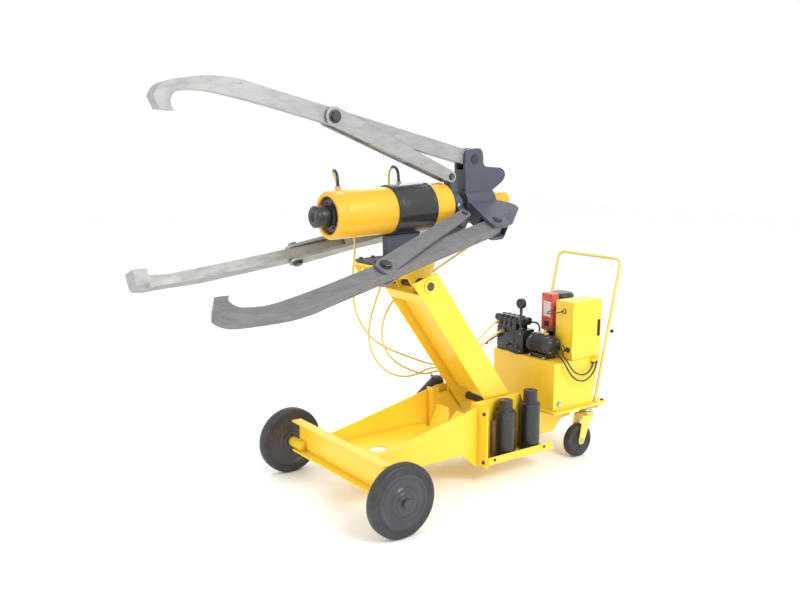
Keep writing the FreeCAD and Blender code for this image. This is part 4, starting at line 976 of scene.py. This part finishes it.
# ------------------------------------------------------------------ castors
def castors():
    bm = bmesh.new()
    for sign in (1, -1):
        seat = at(sign * CASTOR_SEAT[0], CASTOR_SEAT[1], 0)
        block(bm, (-45, -45, 238), (45, 45, 245), 2.5, 3, seat)
        lathe(bm, eased([(217, 0), (217, 26), (219, 30), (233, 30), (238, 26), (238, 0)], 1.2), seat, 48)
        for sx in (-34, 34):
            for sy in (-34, 34):
                bolt(bm, seat @ at(sx, sy, 238) @ Matrix.Rotation(pi, 4, "X"), 8)
    piece("castor_plates_pressed", bm, CART, ZINC, "cart", ["castor_plates"])
    for side, sign in SIDES:
        seat = CART @ at(sign * CASTOR_SEAT[0], CASTOR_SEAT[1], 80)
        bm = bmesh.new()
        lathe(bm, eased([(126, 0), (126, 34), (134, 34), (136.7, 30), (136.7, 0)], 1.2), HERE, 48)
        leg = [(-73, 0), (-70, -10), (-62, -16), (-48, -16), (-40, -10), (-36, 2), (-6, 78), (20, 112),
            (22, 128), (-50, 128), (-54, 112), (-62, 60)]
        upright = Matrix(((0, 0, 1, 0), (1, 0, 0, 0), (0, 1, 0, 0), (0, 0, 0, 1)))
        for low in (25, -31):
            prism(bm, leg, low, low + 6, upright, 1.8, 3)
        block(bm, (-31, -50, 122), (31, 20, 128), 1.8, 3)
        piece("castor_fork_" + side + "_pressed", bm, seat, YELLOW_CAST, "castor_" + side,
            ["castor_fork_" + side])
        bm = bmesh.new()
        for way in (1, -1):
            hexagon(bm, along((way * 31, -55, 0), way * X), 19, 5)
        lathe(bm, [(-31, 0), (-31, 7.9), (31, 7.9), (31, 0)], along((0, -55, 0), X), 24)
        piece("castor_axle_" + side, bm, seat, ZINC, "castor_" + side)
        bm = bmesh.new()
        wheel = [(-24, 8.2), (24, 8.2), (24, 18), (19, 24), (17, 30), (16.5, 48), (20, 55), (21, 62),
            (20.5, 72), (16, 78), (8, 79.9), (-8, 79.9), (-16, 78), (-20.5, 72), (-21, 62), (-20, 55),
            (-16.5, 48), (-17, 30), (-19, 24), (-24, 18)]
        lathe(bm, eased(wheel, 1.6, 3), along((0, -55, 0), X), 88)
        piece("castor_wheel_" + side + "_tread", bm, seat, CASTOR_RUBBER, "castor_roll_" + side,
            ["castor_wheel_" + side])


# ------------------------------------------------------------------ loose rods on the shelf
def loose_rods():
    for name, centre, body_top, neck_top in (("long", 897, 222, 279), ("short", 745, 212, 259)):
        bm = bmesh.new()
        profile = [(0, 0), (0, 43.5), (2.5, 46), (24, 46), (25, 45.3), (26, 46), (body_top - 30, 46),
            (body_top - 29, 45.3), (body_top - 28, 46), (body_top - 4, 46), (body_top, 42),
            (body_top, 33.5), (body_top + 2, 32.5)]
        pitch = 4.0
        for k in range(int((neck_top - body_top - 12) / pitch)):
            start = body_top + 8 + k * pitch
            profile += [(start, 32.5), (start + pitch * 0.5, 31.6)]
        profile += [(neck_top - 2, 32.5), (neck_top, 30.5), (neck_top, 7), (neck_top - 8, 6),
            (neck_top - 8, 0)]
        lathe(bm, eased(profile, 0.7, 2), HERE, 80)
        place = CART @ at(199.5, centre, 106)
        piece("extension_rod_" + name + "_turned", bm, place, BLACK, "rod_" + name,
            ["extension_rod_" + name])
    bm = bmesh.new()
    for spot in ((206, 668, 106), (174, 821, 106)):
        rod(bm, Matrix.Translation(spot), 12, 0, 178, 2.0, 40)
    piece("spare_bars_turned", bm, CART, BROWN, "bars", ["spare_bars"])


# ------------------------------------------------------------------ boom and lift cylinder
def boom():
    soften("boom", 1.8, YELLOW)
    bm = bmesh.new()
    for sign in (1, -1):
        inner = sign * 121
        weld(bm, [(inner, -21, 94), (inner, -21, 636)])
        weld(bm, [(inner, 55, 94), (inner, 55, 636)])
        weld(bm, [(inner, -53, 692), (inner, -53, 738)], 2.2)
    weld(bm, arc((-130.5, 34.2, 116.8), 15, 0, 360, 50, (Y, Z)), 2.4)
    piece("boom_welds", bm, BOOM, YELLOW, "boom")
    bm = bmesh.new()
    for height, half in ((0, 156), (BOOM_TILT_PIN, 138)):
        rod(bm, at(0, 0, height) @ ALONG_X, PIN_RADIUS, -half, half, 1.6, 48)
    piece("boom_pins_turned", bm, BOOM, ROD_STEEL, "boom", ["boom_pins"])
    bm = bmesh.new()
    for sign in (1, -1):
        ring(bm, along((sign * 130, 0, BOOM_TILT_PIN), sign * X), 18.2, 30, 0, 5, 0.8, 44)
    piece("tilt_pin_collars", bm, BOOM, YELLOW, "boom")
    bm = bmesh.new()
    for spot in ((-148, -40, 232), (-148, -40, 132), (-148, -16, 232), (-148, -16, 132)):
        cap_screw(bm, along(Vector(spot) + Vector((1, 0, 0)), -X), 3)
    ring(bm, along((-240, 34.2, 116.8), -X), LIFT_PIN_RADIUS, 19, 0, 3, 0.5, 32)
    bolt(bm, along((-248, 34.2, 116.8), -X), 8)
    piece("boom_small_bolts", bm, BOOM, ZINC, "boom")
    for side, sign in reversed(SIDES):
        bm = bmesh.new()
        ring(bm, along((sign * 150.5, 800, 300), sign * X), 18.3, 31, 0, 6, 0.8, 44)
        piece("pivot_boss_" + side, bm, CART, YELLOW, "cart")


def lift_cylinder():
    bm = bmesh.new()
    lathe(bm, eased([(20, 0), (20, 31), (24, 35), *groove(298, 35, 1.5), (309, 35), (332, 27), (332, 16.3),
        (316, 16.3), (316, 0)], 1.2), ALONG_Y, 56)
    ring(bm, ALONG_X, LIFT_PIN_RADIUS, 26, -14, 14, 1.5, 48)
    piece("lift_barrel_turned", bm, LIFT, BLACK, "lift_barrel", ["lift_barrel"])
    bm = bmesh.new()
    for spot in (44, 306):
        hexagon(bm, along((0, spot, 34), Z), 17, 12)
        rod(bm, along((0, spot, 34), Z), 6, 10, 22, 0.6, 24)
    piece("lift_ports", bm, LIFT, ZINC, "lift_barrel")
    bm = bmesh.new()
    lathe(bm, eased([(110, 0), (110, 26.9), (128, 26.9), (128, 16), (376, 16), (376, 0)], 0.8), ALONG_Y, 48)
    ring(bm, along((0, 400, 0), X), 16.5, 28, -14, 14, 1.5, 48)
    piece("lift_rod_turned", bm, LIFT, CHROME, "lift_rod", ["lift_rod"])
    bm = bmesh.new()
    ring(bm, along((-239.5, 437, 179), -X), LIFT_PIN_RADIUS, 20, 0, 3, 0.5, 32)
    bolt(bm, along((-248.5, 437, 179), -X), 8)
    piece("lift_foot_bolt", bm, CART, ZINC, "cart")


# ------------------------------------------------------------------ puller head
def main_cylinder():
    bm = bmesh.new()
    profile = [(-38, 76), (-46, 77.5), (-47, 82), (-47, 91), (-44, 95), (-40, CYLINDER_RADIUS),
        *groove(2, CYLINDER_RADIUS), *groove(505, CYLINDER_RADIUS, 1.0), (522, CYLINDER_RADIUS), (534, 92),
        (539, 84), (539, 0), (507, 0), (507, 76)]
    lathe(bm, eased(profile, 1.0, 2), ALONG_Y, 128)
    for spot in PORTS_AT:
        lathe(bm, eased([(78, 0), (78, 13), (97, 13), (100, 11), (104, 11), (104, 0)], 0.8),
            at(-44, spot, 0), 32)
    piece("cylinder_tube_turned", bm, HEAD, CYLINDER_PAINT, "head", ["cylinder_tube"])
    bm = bmesh.new()
    for spot in PORTS_AT:
        hexagon(bm, at(-44, spot, 103), 21, 8)
    piece("port_nuts", bm, HEAD, ZINC, "head")
    bm = bmesh.new()
    band = [(238, 97.1), (238, 102), (241, BAND_RADIUS), *groove(252, BAND_RADIUS),
        *groove(418, BAND_RADIUS), (433, BAND_RADIUS), (436, 102), (436, 97.1)]
    lathe(bm, eased(band, 0.6, 2), ALONG_Y, 128)
    piece("clamp_band_turned", bm, HEAD, BLACK, "head", ["clamp_band"])
    bm = bmesh.new()
    for way in (1, -1):
        for spot in (262, 412):
            cap_screw(bm, along((way * (BAND_RADIUS - 1.4), spot, 0), way * X), 4.5)
    piece("band_screws", bm, HEAD, ROD_STEEL, "head")
    bm = bmesh.new()
    lathe(bm, eased([(-38, 38.1), (-38, 42), (-36, 43), (-36, 58), (-38, 60), (-38, 64), (-33, 72),
        (-32, 75.9), (24, 75.9), (24, 38.1)], 0.8, 2), ALONG_Y, 96)
    for t in around(8, pi / 8):
        cap_screw(bm, along((52 * cos(t), -36, 52 * sin(t)), -Y), 4)
    piece("gland_turned", bm, HEAD, BLACK, "head", ["gland"])
    bm = bmesh.new()
    lathe(bm, eased([(-62, 0), (-62, 37.9), (440, 37.9), (440, 75.8), (480, 75.8), (480, 0)], 0.8), ALONG_Y,
        72)
    piece("ram_turned", bm, HEAD, CHROME, "ram", ["ram"])
    bm = bmesh.new()
    lathe(bm, eased([(-106, 0), (-106, 12), (-110, 15), (-115, 18), (-115, 34), (-107, 44), (-92, 44),
        (-91, 43), (-88, 43), (-87, 44), (-46, 44), (-44, 42), (-44, 38.2), (-61, 38.2), (-61, 0)], 1.2, 3),
        ALONG_Y, 80)
    piece("ram_nose_turned", bm, HEAD, BLACK, "ram", ["ram_nose"])


def saddle_and_post():
    soften("head_saddle", 2.0, YELLOW)
    soften("head_post", 2.5, BLUE_GREY)
    bm = bmesh.new()
    for sign in (1, -1):
        weld(bm, [(sign * 20.5, 229, -198.5), (sign * 20.5, 395, -198.5)])
        weld(bm, [(sign * 20.5, 229, -106), (sign * 20.5, 395, -106)], 2.4)
        weld(bm, [(sign * 51.5, 112, -219.5), (sign * 51.5, 436, -219.5)], 2.4)
    piece("post_welds", bm, HEAD, BLUE_GREY, "head")
    bm = bmesh.new()
    for sx in (-54, 54):
        for sy in (140, 200, 424):
            bolt(bm, along((sx, sy, -199), Z), 9)
    piece("saddle_bolts", bm, HEAD, ROD_STEEL, "head")
    bm = bmesh.new()
    for sign in (1, -1):
        ring(bm, along((sign * 60, 359.8, -320.8), sign * X), 18.2, 28, 0, 5, 0.6, 40)
    piece("saddle_bushes", bm, HEAD, ROD_STEEL, "head")


def jaw_head():
    soften("jaw_head", 3.2, BLUE_GREY, 3)
    soften("link_carrier", 2.0, BLUE_GREY)
    bm = bmesh.new()
    lathe(bm, eased([(566, 0), (566, 13), (730, 13), (730, 25.9), (750, 25.9), (750, 0)], 0.6), ALONG_Y, 48)
    rod(bm, along((0, 584, 0), X), 8, -55, 55, 1.0, 28)
    piece("carrier_rod_turned", bm, HEAD, CHROME, "carrier", ["carrier_rod"])
    bm = bmesh.new()
    lathe(bm, eased([(700, 13.6), (700, 36), (796, 36), (797, 35), (800, 35), (801, 36), (872, 36),
        (893, 35), (899, 29), (899, 8), (896, 7), (896, 0), (888, 0), (888, 26), (706, 26), (706, 13.6)],
        0.9), ALONG_Y, 72)
    lathe(bm, eased([(30, 0), (30, 10), (44, 10), (48, 8), (48, 0)], 0.8), along((0, 872, 0), -Z), 32)
    piece("jaw_cylinder_turned", bm, HEAD, CYLINDER_PAINT, "head", ["jaw_cylinder"])
    bm = bmesh.new()
    for name, angle in JAWS:
        place = Matrix.Rotation(radians(angle), 4, "Y") @ at(0, 690, 190)
        rod(bm, place @ ALONG_X, 14, -44, 44, 1.2, 36)
        for sign in (1, -1):
            ring(bm, place @ along((sign * 38.2, 0, 0), sign * X), 10, 21, 0, 3.5, 0.6, 36)
    piece("tail_pins_turned", bm, HEAD, ROD_STEEL, "head", ["tail_pins"])


def jaws_and_links():
    for name, angle in JAWS:
        # The right jaw takes the darker copy of the jaw steel: painted shade.
        steel = JAW_SHADED_STEEL if name == "right" else JAW_STEEL
        soften("jaw_" + name, 4.0, steel, 3)
        soften("link_" + name, 2.2, steel, 3)
        pivot = joint_point("link_" + name + "_swing")
        side = -Vector(joints["link_" + name + "_swing"]["axis"])
        place = along(pivot, side) @ METRES
        bm = bmesh.new()
        rod(bm, HERE, 15.9, -38, 37, 0.8, 40)
        rod(bm, HERE, 26, 37, 41.5, 0.7, 44)
        hexagon(bm, at(0, 0, 41), 36, 11)
        rod(bm, HERE, 25, -41.5, -37.2, 0.7, 44)
        hexagon(bm, at(0, 0, -41) @ Matrix.Rotation(pi, 4, "X"), 36, 9)
        piece("link_bolt_" + name + "_turned", bm, place, ROD_STEEL, "link_" + name, ["link_bolt_" + name])


# ------------------------------------------------------------------ floor
def lay_floor():
    pale, tree, shader = nodes_of("pale_floor")
    tone = mix(tree, noise(tree, 0.6, 2.0), (0.995, 0.995, 0.995), (0.985, 0.985, 0.985))
    feed(tree, shader.inputs["Base Color"], tone)
    shader.inputs["Roughness"].default_value = 0.9
    ground = bmesh.new()
    bmesh.ops.create_grid(ground, x_segments=1, y_segments=1, size=14.0)
    mesh = bpy.data.meshes.new("floor")
    ground.to_mesh(mesh)
    ground.free()
    mesh.materials.append(pale)
    floor = bpy.data.objects.new("floor", mesh)
    bpy.context.scene.collection.objects.link(floor)


# ------------------------------------------------------------------ everything in order
photographer()
studio()
all_hoses()
wheels()
cart_frame()
push_handle()
tank()
motor()
pump()
valve_block()
electrical_box()
castors()
loose_rods()
boom()
lift_cylinder()
main_cylinder()
saddle_and_post()
jaw_head()
jaws_and_links()

lay_floor()

bpy.context.view_layer.update()
